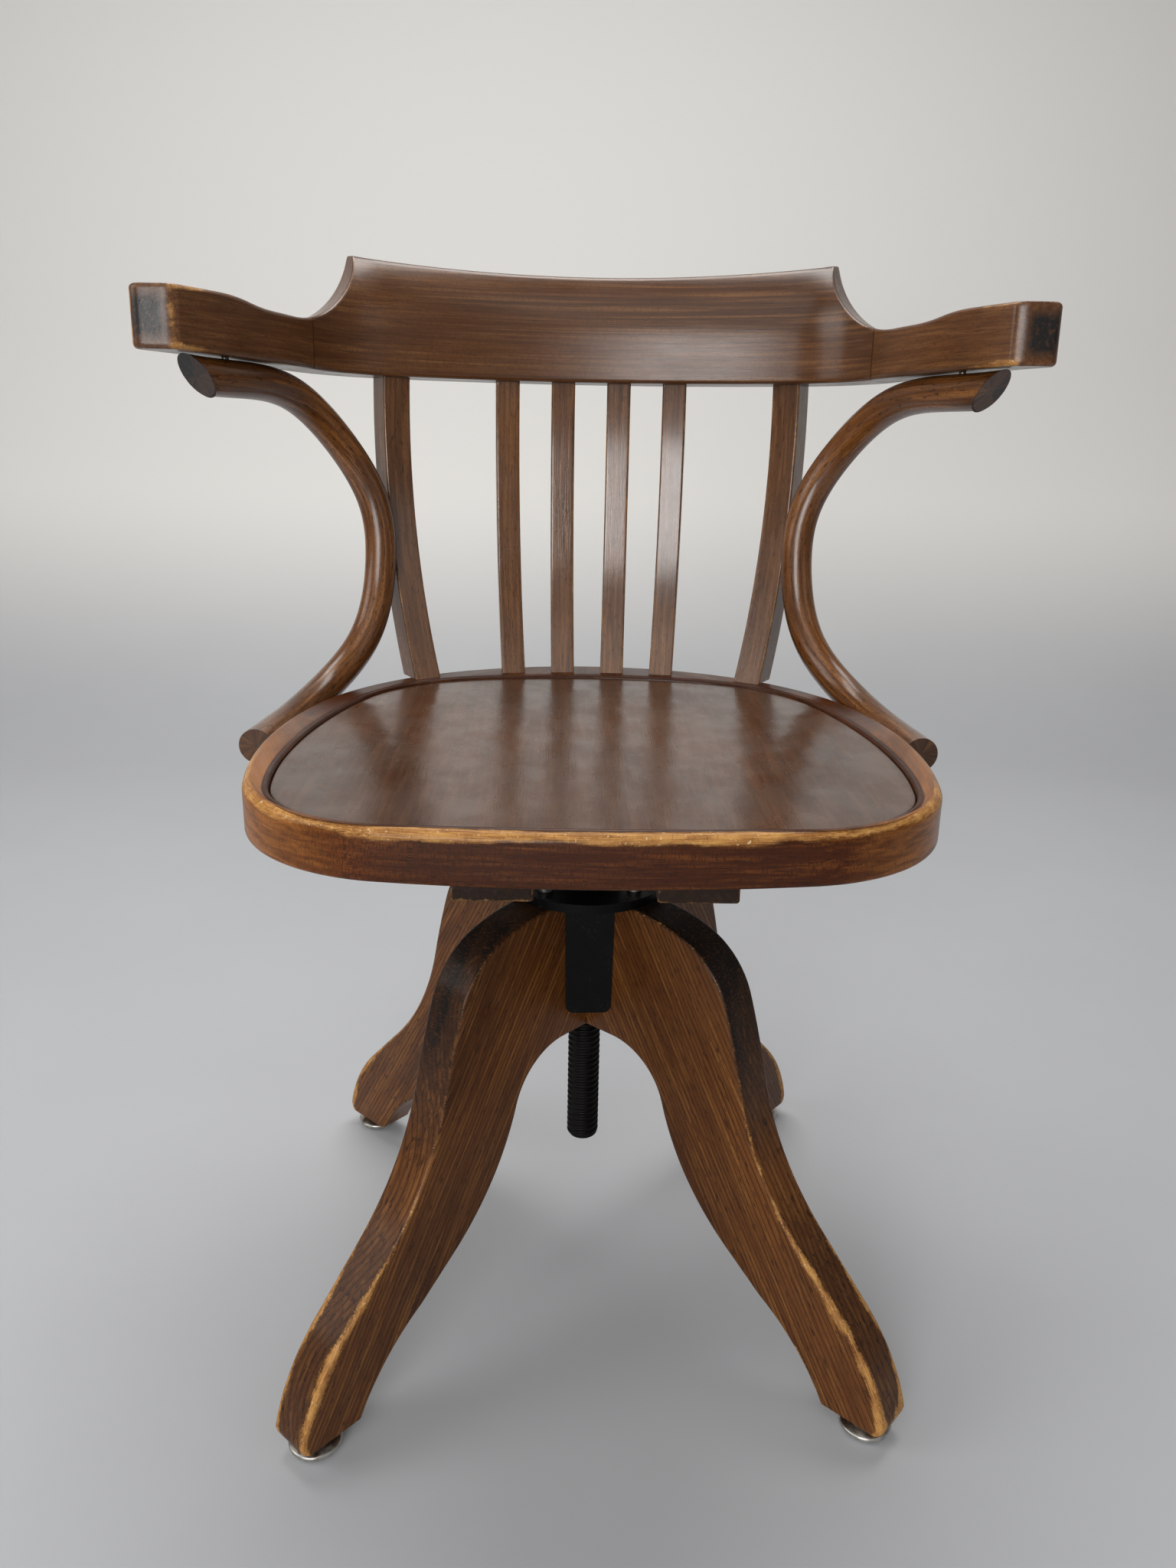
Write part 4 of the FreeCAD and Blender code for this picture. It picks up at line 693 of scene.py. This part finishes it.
def makeRing(at, outward):
    # The section is carried round: outline point + inset x inward normal, height from the section.
    top = seat["top"]
    deepest = seat["bead"][0][0]
    section = ringSection()
    at["top"] = at["outer"] - outward * seat["round"]
    span = at["panel"] - outward * deepest - at["top"]
    rows = np.stack([raised(at[name] + (span if name == "top" else -outward) * inset, height)
                     for name, inset, height in section])
    rows = np.concatenate([rows, rows[:1]])
    section = section + section[:1]
    # the grain's seam lies at the back
    travel = lineLength(np.concatenate([at["outer"], at["outer"][:1]]))[:-1]
    travel = np.where(travel > travel[-1] / 2, travel - travel[-1], travel)
    grain = spread(travel, lineLength(rows[:, 0])[:, None], outward[:, 0] * 20) * mm
    # rows that don't lie on the outer line count as far in
    inset = np.array([inset if name == "outer" else 40 for name, inset, height in section])
    height = np.array([height for name, inset, height in section])
    gap = np.hypot(np.maximum(0, inset - seat["wornInset"]), np.maximum(0, top - seat["wornDrop"] - height))
    x, y = at["outer"].T
    gold = seat["gold"] * ramp(np.abs(x) / seat["outer"]["half"], *seat["goldBeside"])
    tone = seat["backTone"] + ramp(y, *seat["goldToward"]) * (seat["middleTone"] - seat["backTone"] - gold)
    # rows in the groove beside the panel are darkened as painted shade
    inGroove = np.array([name == "panel" and inset > deepest for name, inset, height in section])
    touch = spread(gap[:, None], 0.35 + ramp(y, *seat["wornToward"]),
                   np.where(inGroove[:, None], seat["grooveShade"], tone))
    makePiece("seat_ring", "_bent", rows, gridFaces(*rows.shape[:2]), ringWood, "seat",
              grain, touch, 60)


def makePanel(outline):
    # The outline scaled toward its middle by t, with a dish of depth (1 - t^2)^1.5, over a flat under side
    middle = np.array([0, seat["panelMiddle"]])
    shares = np.concatenate([seat["rimShares"], np.linspace(0.95, 0.02, 40), [0]])
    drop = np.zeros(len(shares))
    drop[:len(seat["rimDrops"])] = seat["rimDrops"]
    heights = seat["panelTop"] - seat["dish"] * (1 - shares**2) ** 1.5 - drop
    flat = middle + (outline - middle) * shares[:, None, None]
    skin = np.concatenate([raised(flat[::-1], seat["panelUnder"]), raised(flat, heights[:, None, None])])
    grain = skin[..., [1, 0, 2]] * mm + 0.3
    # the rim, where the panel tucks under the ring, is darkened as painted shade
    rim = ramp(np.concatenate([shares[::-1], shares]), 0.988, 1.0)
    touch = spread(30, 0, rim[:, None] * 0.4 + np.zeros(len(outline)))
    makePiece("seat_panel", "_pressed", skin, gridFaces(*skin.shape[:2]), panelWood, "seat",
              grain, touch, 60)


outlines, outwards = seatOutlines()
makeRing(outlines, outwards)
makePanel(outlines["panel"])
print("seat made")

# Battens
batten = dict(width=47, thickness=12, side=58.5, front=-228, back=176, low=422, corner=2.5, arris=1.5)


def makeBatten(label, side):
    # a plain plank: three lengths with every arris rounded
    corner, arris = batten["corner"], batten["arris"]
    length = batten["back"] - batten["front"]
    inside = nearRows(24, length), nearRows(6, batten["width"]), np.linspace(-1, 1, 3)
    core, _, off, faces = blockSkin(inside, 3, corner, arris)
    half = np.array([length, batten["width"], batten["thickness"]]) / 2
    local = core * (half - [corner, corner, arris]) + off
    places = spread(local[:, 1] + side * batten["side"], local[:, 0] + (batten["back"] + batten["front"]) / 2,
                    local[:, 2] + batten["low"] + half[2])
    gap = arrisGap(*zip((local + half).T, half * 2))
    # a little darker again, partly stain and partly painted shade under the seat
    makePiece(label, "_wood", places, faces, battenWoodAndShade, "seat", local * mm + side,
              spread(gap, 0.4, 0.3))


makeBatten("batten_left", -1)
makeBatten("batten_right", 1)

# Rail and arms
rail = dict(
    width=38, height=70, rise=3, shift=0.295, lift=717.25, joint=128, jointGap=0.3, overlap=20,
    bendHeight=34, bendRadius=79.78, arris=3.2, corner=8, slant=30, armTurn=57.2,
    inner=(196, (("arc", 434, -22), ("arc", 85, -78), ("arc", 410, -57.2))),
    outer=(234, (("arc", 472, -22), ("arc", 110, -78), ("arc", 462, -57.2))),
    # key along the rail, and the slanted places on the inner and the outer line that face each other there
    pairs=((60, 40, 40), (150, 130, 130), (235, 190, 208)), end=347.0,
    crest=84, crestRadius=2454, peakEase=2.0,
    cove=dict(start=(78, 92), lean=-74, wall=5.56, radius=72, levelTo=168, swell=108.9, swellTurn=12.3),
    # places along the rail between which wear grows: at the arm's end, and on both sides of the joint
    wornEnd=(275, 335), wornJoint=(90, 110), wornPast=(130, 110),
    # depth in from the sides and from the end between which the end face turns dark
    darkInset=(2, 11), darkEnd=(4.5, 1.5),
    grainSeeds=dict(back_rail=0.1, arm_left=0.63, arm_right=1.21))
slantWay = np.array([math.cos(math.radians(rail["slant"])), -math.sin(math.radians(rail["slant"]))])


def coveHeight(s):
    # top of the arm along s: crest wall, cove, level, then a slow S up to the arm's end
    cove = rail["cove"]
    fall = ("run", cove["wall"], None), ("arc", cove["radius"], 0)
    wall, _ = chainLine(cove["start"], cove["lean"], fall, 0.25)
    rise = ("arc", cove["swell"], cove["swellTurn"]), ("arc", cove["swell"], 0)
    flat, _ = chainLine(wall[-1], 0, (("run", cove["levelTo"] - wall[-1, 0], None), *rise), 0.5)
    above = wall[0] + (wall[0] - wall[8]) * 60
    line = np.concatenate([[above], wall, flat[1:], [[400, flat[-1, 1]]]])
    return np.interp(s, line[:, 0], line[:, 1])


def topHeight(spot):
    # the lower of the crest's arc, crest + x^2 / 2R, and the cove, with the peak between them eased
    crest = rail["crest"] + np.abs(spot[:, 0]) ** 2 / (2 * rail["crestRadius"])
    cove = coveHeight(spot @ slantWay)
    ease = rail["peakEase"]
    share = np.clip(0.5 + 0.5 * (crest - cove) / ease, 0, 1)
    return crest * (1 - share) + cove * share - ease * share * (1 - share) * 0.5


def roundArmEnd(spot, edge, inner, outer):
    # Both corners of the arm's end are true arcs in plan: a point outside the arc goes back to it. The way
    # from the arc's middle is p (end's outward) + q (side's outward), both above 0 in the corner's wedge.
    corner, arris = rail["corner"], rail["arris"]
    heading = math.radians(rail["armTurn"])
    outerSide = np.array([math.sin(heading), math.cos(heading)])
    inset = arris * (1 - np.cos(climb(edge)))
    for end, facing, share in ((outer[-1], outerSide, -math.tan((math.pi - heading) / 2)),
                               (inner[-1], -outerSide, 1 / math.tan((math.pi - heading) / 2))):
        middle = end + [corner * share, corner]
        away = spot - middle
        reach = np.hypot(away[:, 0], away[:, 1])
        q = away[:, 0] / facing[0]
        p = q * facing[1] - away[:, 1]
        outside = (p > 0) & (q > 0) & (reach > corner - inset)
        pull = np.where(outside, (corner - inset) / np.maximum(reach, 1e-6), 1)
        spot = middle + away * pull[:, None]
    return spot


def makeRailPiece(node, side):
    # Sections ruled between the plan lines at equal s (shifted apart toward the middle and the arm's end),
    # raised to the top height; the front face lies back by R - sqrt(R^2 - (z - bend)^2) above the bend.
    # Side 0 is the crest with both its halves, -1 and 1 are the arms.
    inner, outer = (chainLine((0, rail[line][0]), 0, rail[line][1], 0.5)[0] for line in ("inner", "outer"))
    innerS, outerS = inner @ slantWay, outer @ slantWay
    pairs = ((0, innerS[0], outerS[0]),) + rail["pairs"] + ((rail["end"], innerS[-1], outerS[-1]),)
    keys, innerKeys, outerKeys = np.array(pairs).T
    jointKey = np.interp(rail["joint"], innerKeys, keys)
    corner, arris, overlap = rail["corner"], rail["arris"], rail["overlap"]
    if side == 0:
        half = np.concatenate([np.linspace(0, 85, 30), np.linspace(85, jointKey + overlap, 76)])
        half = np.unique(half.round(4))
        along = np.concatenate([-half[::-1][:-1], half])
        low, high = along[0], along[-1]
    else:
        low, high = jointKey - overlap, rail["end"]
        along = np.unique(np.concatenate([np.linspace(low, high - 40, 60), np.linspace(high - 40, high, 18)]))
    rows = (along - (low + high) / 2) / ((high - low) / 2)
    inside = rows[1:-1], nearRows(10, rail["width"], (1.5, 4, 7)), nearRows(20, rail["height"], (2, 4))
    core, edge, off, faces = blockSkin(inside, 5, corner, arris)
    key = (low + high) / 2 + core[:, 0] * ((high - low) / 2 - corner) + off[:, 0]
    sign = np.where(key < 0, -1.0, 1.0) if side == 0 else side
    key = np.abs(key)
    # the crest ends half a gap before the joint, the arms begin half a gap past it
    cut = rail["joint"] + rail["jointGap"] / 2 * (1 if side else -1)
    keep = np.maximum if side else np.minimum
    innerSpot = pick(inner, innerS, keep(np.interp(key, keys, innerKeys), cut))
    outerSpot = pick(outer, outerS, keep(np.interp(key, keys, outerKeys), cut))
    width = np.linalg.norm(outerSpot - innerSpot, axis=1)
    wide = corner + (core[:, 1] + 1) / 2 * (width - 2 * corner) + off[:, 1]
    top = topHeight(innerSpot + (outerSpot - innerSpot) * (wide / width)[:, None])
    z = arris + (core[:, 2] + 1) / 2 * (top - 2 * arris) + off[:, 2]
    above = np.clip(z - rail["bendHeight"], 0, 60)
    back = rail["bendRadius"] - np.sqrt(rail["bendRadius"] ** 2 - above**2)
    share = (back + (width - back) * wide / width) / width
    spot = innerSpot + (outerSpot - innerSpot) * share[:, None]
    if side:
        spot = roundArmEnd(spot, edge, inner, outer)
    x, y = spot.T
    y, up = turned(y, z, -math.radians(rail["rise"]))
    seed = rail["grainSeeds"][node]
    grain = spread(key * 1.05 * sign, z, wide) * mm + np.array([seed, seed * 0.37, seed * 0.11])
    gap = arrisGap((wide, width), (z, top))
    toEnd = rail["end"] - key
    gap = np.minimum(gap, np.hypot(np.minimum(wide, width - wide), toEnd)) if side else gap
    atJoint = ramp(key, *rail["wornJoint"]) * ramp(key, *rail["wornPast"])
    worn = 0.12 + 1.3 * ramp(key, *rail["wornEnd"]) + 0.25 * atJoint
    inFace = ramp(np.minimum(wide, width - wide), *rail["darkInset"])
    inFace = inFace * ramp(np.minimum(z, top - z), *rail["darkInset"])
    dark = 0.95 * ramp(toEnd, *rail["darkEnd"]) * inFace
    places = spread(x * sign, y + rail["shift"], up + rail["lift"])
    makePiece(node, "_sawn", places, faces, railWood, "seat", grain, spread(gap, worn, dark))


makeRailPiece("back_rail", 0)
makeRailPiece("arm_left", -1)
makeRailPiece("arm_right", 1)
print("rail and arms made")

# Stiles and slats
upright = dict(
    foot=467, under=706, pivot=215, arris=1.5, overrun=8,
    stile=dict(foot=(141, 147), plan=31, lean=(63, 95), width=23, depth=24, dark=0.1),
    slat=dict(circle=410, middle=-238, plans=(-9, -3, 3, 9), lean=(64.5, 96.5), width=20, depth=9, dark=0.0))


def makeUpright(label, footSpot, plan, kind, seed):
    # A bent stick: foot + R (sin a - sin a0) outward + R (cos a0 - cos a) upward, face square to the bend.
    # Both ends are sawn level: at the seat, and at the rail's rising underside.
    stick = upright[kind]
    width, depth, arris, over = stick["width"], stick["depth"], upright["arris"], upright["overrun"]
    low, high = np.radians(stick["lean"])
    radius = (upright["under"] - upright["foot"]) / (math.cos(low) - math.cos(high))
    length = radius * (high - low)
    inside = nearRows(56, length), nearRows(6, width, (1.5, 3.5)), nearRows(4, depth, (1.5, 3.5))
    core, _, off, faces = blockSkin(inside, 3, arris, arris)
    along = (core[:, 0] + 1) / 2 * (length + 2 * over) - over + off[:, 0]
    across = core[:, 1] * (width / 2 - arris) + off[:, 1]
    through = core[:, 2] * (depth / 2 - arris) + off[:, 2]
    angle = low + along / radius
    outAt = radius * (np.sin(angle) - math.sin(low)) - through * np.sin(angle)
    z = upright["foot"] + radius * (math.cos(low) - np.cos(angle)) + through * np.cos(angle)
    out = np.array([math.sin(math.radians(plan)), math.cos(math.radians(plan))])
    sideways = np.array([out[1], -out[0]])
    flat = np.array(footSpot) + outAt[:, None] * out + across[:, None] * sideways
    ceiling = upright["under"] + (upright["pivot"] - flat[:, 1]) * math.tan(math.radians(rail["rise"])) - 0.1
    # a point past either end slides back along the stick to the cut
    slide = np.maximum(z - ceiling, 0) - np.maximum(upright["foot"] + 0.1 - z, 0)
    flat = flat - (slide * np.cos(angle) / np.sin(angle))[:, None] * out
    gap = arrisGap((across + width / 2, width), (through + depth / 2, depth))
    grain = spread(along, across, through) * mm + np.array([seed, seed * 0.7, seed * 0.3])
    makePiece(label, "_wood", raised(flat, (z - slide)[:, None]), faces, slatWood, "seat",
              grain, spread(gap, 0.35, stick["dark"]))


for label, side in (("stile_left", -1), ("stile_right", 1)):
    x, y = upright["stile"]["foot"]
    makeUpright(label, (x * side, y), upright["stile"]["plan"] * side, "stile", 0.4 + side * 0.3)
for number, plan in enumerate(upright["slat"]["plans"], start=1):
    circle, angle = upright["slat"]["circle"], math.radians(plan)
    footSpot = (circle * math.sin(angle), upright["slat"]["middle"] + circle * math.cos(angle))
    makeUpright("slat_%d" % number, footSpot, plan, "slat", 0.2 + number * 0.17)
print("uprights made")

# Bows
bow = dict(
    radius=12.7, slant=44, drop=13.0, step=2.0, sides=48, overrun=26.0, headStain=0.97, footStain=0.6,
    spots=((240, -24, 452), (229, 38, 455.5), (208.5, 95, 472), (185.5, 130, 503), (173.5, 151, 561),
           (177.5, 157, 607), (200, 149, 654)),
    underArm=((225, 114, 9), (246, 56, 0), (274.5, -11.5, 0)))  # x, y and sag below the line under the arm


def makeBow(label, side):
    # A round rod: path(s) + R (side cos a + up sin a), side square to the path and level with X.
    # Past either end the rod is slid along its axis back onto the cut.
    radius, sides = bow["radius"], bow["sides"]
    tilt = math.radians(rail["rise"])
    spots = np.array(bow["spots"] + bow["underArm"], float)
    held = spots[len(bow["spots"]):]
    rise = upright["under"] + (upright["pivot"] - held[:, 1]) * math.tan(tilt)
    held[:, 2] = rise - bow["drop"] / math.cos(tilt) - held[:, 2]
    path = splinePath(spots, bow["step"])
    tangents = np.gradient(path, axis=0)
    tangents /= np.linalg.norm(tangents, axis=1, keepdims=True)
    ends = np.arange(bow["step"], bow["overrun"], bow["step"])[:, None]
    path = np.concatenate([path[:1] - tangents[:1] * ends[:3][::-1], path, path[-1:] + tangents[-1:] * ends])
    beyond = np.repeat(tangents[-1:], len(ends), 0)
    tangents = np.concatenate([np.repeat(tangents[:1], 3, 0), tangents, beyond])
    sideways = np.array([1.0, 0, 0]) - tangents * tangents[:, :1]
    sideways /= np.linalg.norm(sideways, axis=1, keepdims=True)
    up = np.cross(tangents, sideways)
    angle = np.arange(sides) / sides * 2 * np.pi
    turn = angle[None, :, None]
    rod = path[:, None] + radius * (sideways[:, None] * np.cos(turn) + up[:, None] * np.sin(turn))
    shrink = np.array([0.9, 0.6, 0.3, 0.0])[:, None, None]
    head = path[-1] + (rod[-1] - path[-1]) * shrink
    foot = path[0] + (rod[0] - path[0]) * shrink[::-1]
    rod = np.concatenate([foot, rod, head])
    long = lineLength(path)
    travel = np.concatenate([np.zeros(4), long, np.full(4, long[-1])])[:, None]
    grain = spread(travel, radius * np.cos(angle), radius * np.sin(angle)) * mm + 0.7 * side
    # the head is sawn at a slant and the foot square, each cut in its own half of the rod
    slant = math.radians(bow["slant"])
    ahead = tangents[-1]
    upward = np.array([0, 0, 1.0]) - ahead * ahead[2]
    upward /= np.linalg.norm(upward)
    headNormal = ahead * math.cos(slant) - upward * math.sin(slant)
    headSpot = spots[-1] - ahead * radius * math.tan(slant)
    late = travel > travel[-1] / 2
    dark = np.zeros(rod.shape[:2])
    for spot, normal, axis, half, stain in ((headSpot, headNormal, ahead, late, bow["headStain"]),
                                            (spots[0], -tangents[0], -tangents[0], ~late, bow["footStain"])):
        past = (rod - spot) @ normal / (axis @ normal)
        past = np.where(half, np.maximum(past, 0), 0)
        rod = rod - past[..., None] * axis
        dark = np.maximum(dark, np.where(past > 0, stain, 0))
    rod[..., 0] *= side
    makePiece(label, "_rod", rod, gridFaces(len(rod), sides), bowWood, "seat", grain,
              spread(9.0, 0.2, dark), 40)


makeBow("bow_left", -1)
makeBow("bow_right", 1)
print("bows made")

# Stage, lamps and camera, in metres
stage = dict(floorColour=(0.50, 0.512, 0.535), wallColour=(0.90, 0.885, 0.855), wallPlace=2.3, wallTop=3.2,
             cove=0.9, reach=9.0, colourChange=0.5, rough=0.6, shine=0.3, roomLight=0.15)


def makeStage():
    # a sheet drawn along x: level floor, quarter-round cove, upright wall
    turn = np.linspace(0, math.pi / 2, 24)
    r, wall, reach = stage["cove"], stage["wallPlace"], stage["reach"]
    curve = np.stack([wall - r + r * np.sin(turn), r - r * np.cos(turn)], -1)
    line = np.concatenate([[[-reach, 0]], curve, [[wall, stage["wallTop"]]]])
    places = spread(np.array([-reach, reach]), line[:, :1], line[:, 1:]).reshape(-1, 3)
    mesh = bpy.data.meshes.new("studio_sheet")
    mesh.from_pydata(places.tolist(), [], gridFaces(len(line), 2, False).tolist())
    mesh.shade_smooth()
    material, tree, shader = newMaterial("studioSheet")
    place = addNode(tree, "ShaderNodeTexCoord").outputs["Object"]
    mottled = between(noise(place, 3.0, 4, 0.6), 0.3, 0.7)
    floor = blend(mottled, stage["floorColour"], [part * 0.97 for part in stage["floorColour"]])
    setShader(shader, {
        "Base Color": blend(between(split(place)[2], 0.0, stage["colourChange"]), floor, stage["wallColour"]),
        "Roughness": stage["rough"], "Specular IOR Level": stage["shine"]})
    mesh.materials.append(material)
    sheet = bpy.data.objects.new("studio_sheet", mesh)
    bpy.context.scene.collection.objects.link(sheet)


lamps = dict(
    window=dict(place=(-0.72, -2.7, 1.05), aim=(0, 0, 0.6), size=(1.3, 1.1), power=40, tint=(1, 0.99, 0.98)),
    front=dict(place=(-0.5, -1.6, 2.6), aim=(0, 0, 0.2), size=(2.4, 2.0), power=15, tint=(1, 0.99, 0.97)),
    side=dict(place=(-2.2, -0.5, 1.6), aim=(0, 0, 0.4), size=(1.2, 1.4), power=15, tint=(1, 0.99, 0.97)),
    fill=dict(place=(1.9, -1.4, 1.7), aim=(0, 0, 0.4), size=(1.4, 1.4), power=3, tint=(0.97, 0.985, 1)),
    ceiling=dict(place=(0, 0.72, 2.55), aim=(0, 0.05, 0.3), size=(2.2, 0.8), power=38, tint=(1, 0.985, 0.96)))


def makeLamp(name, setting):
    # a soft rectangle of light, its -Z turned toward what it lights
    lamp = bpy.data.lights.new(name + "_lamp", "AREA")
    lamp.shape = "RECTANGLE"
    lamp.size, lamp.size_y = setting["size"]
    lamp.energy, lamp.color = setting["power"], setting["tint"]
    holder = bpy.data.objects.new(name + "_lamp", lamp)
    holder.location = setting["place"]
    toAim = Vector(setting["aim"]) - Vector(setting["place"])
    holder.rotation_euler = toAim.to_track_quat("-Z", "Y").to_euler()
    bpy.context.scene.collection.objects.link(holder)


def makeRoom():
    # faint even light from all round
    world = bpy.data.worlds.new("softRoom")
    world.use_nodes = True
    background = world.node_tree.nodes["Background"]
    feed(background.inputs["Color"], (1, 1, 1))
    feed(background.inputs["Strength"], stage["roomLight"])
    bpy.context.scene.world = world


view = dict(place=(-0.0183, -0.8414, 0.6908), turn=-1.196, down=17.90, roll=1.093, lens=27.08, sensor=36.0)


def makeCamera():
    # the photograph's own view: turned about Z, tipped down, then rolled
    turn, down, roll = (math.radians(view[key]) for key in ("turn", "down", "roll"))
    camera = bpy.data.cameras.new("photo_camera")
    camera.lens, camera.sensor_width, camera.sensor_fit = view["lens"], view["sensor"], "AUTO"
    camera.clip_start = 0.05
    holder = bpy.data.objects.new("photo_camera", camera)
    holder.matrix_world = (Matrix.Translation(view["place"]) @ Matrix.Rotation(turn, 4, "Z")
                           @ Matrix.Rotation(math.pi / 2 - down, 4, "X") @ Matrix.Rotation(roll, 4, "Z"))
    bpy.context.scene.collection.objects.link(holder)
    bpy.context.scene.camera = holder


makeStage()
for name, setting in lamps.items():
    makeLamp(name, setting)
makeRoom()
makeCamera()
bpy.context.scene.view_settings.view_transform = "Standard"
print("stage, lamps and camera made")
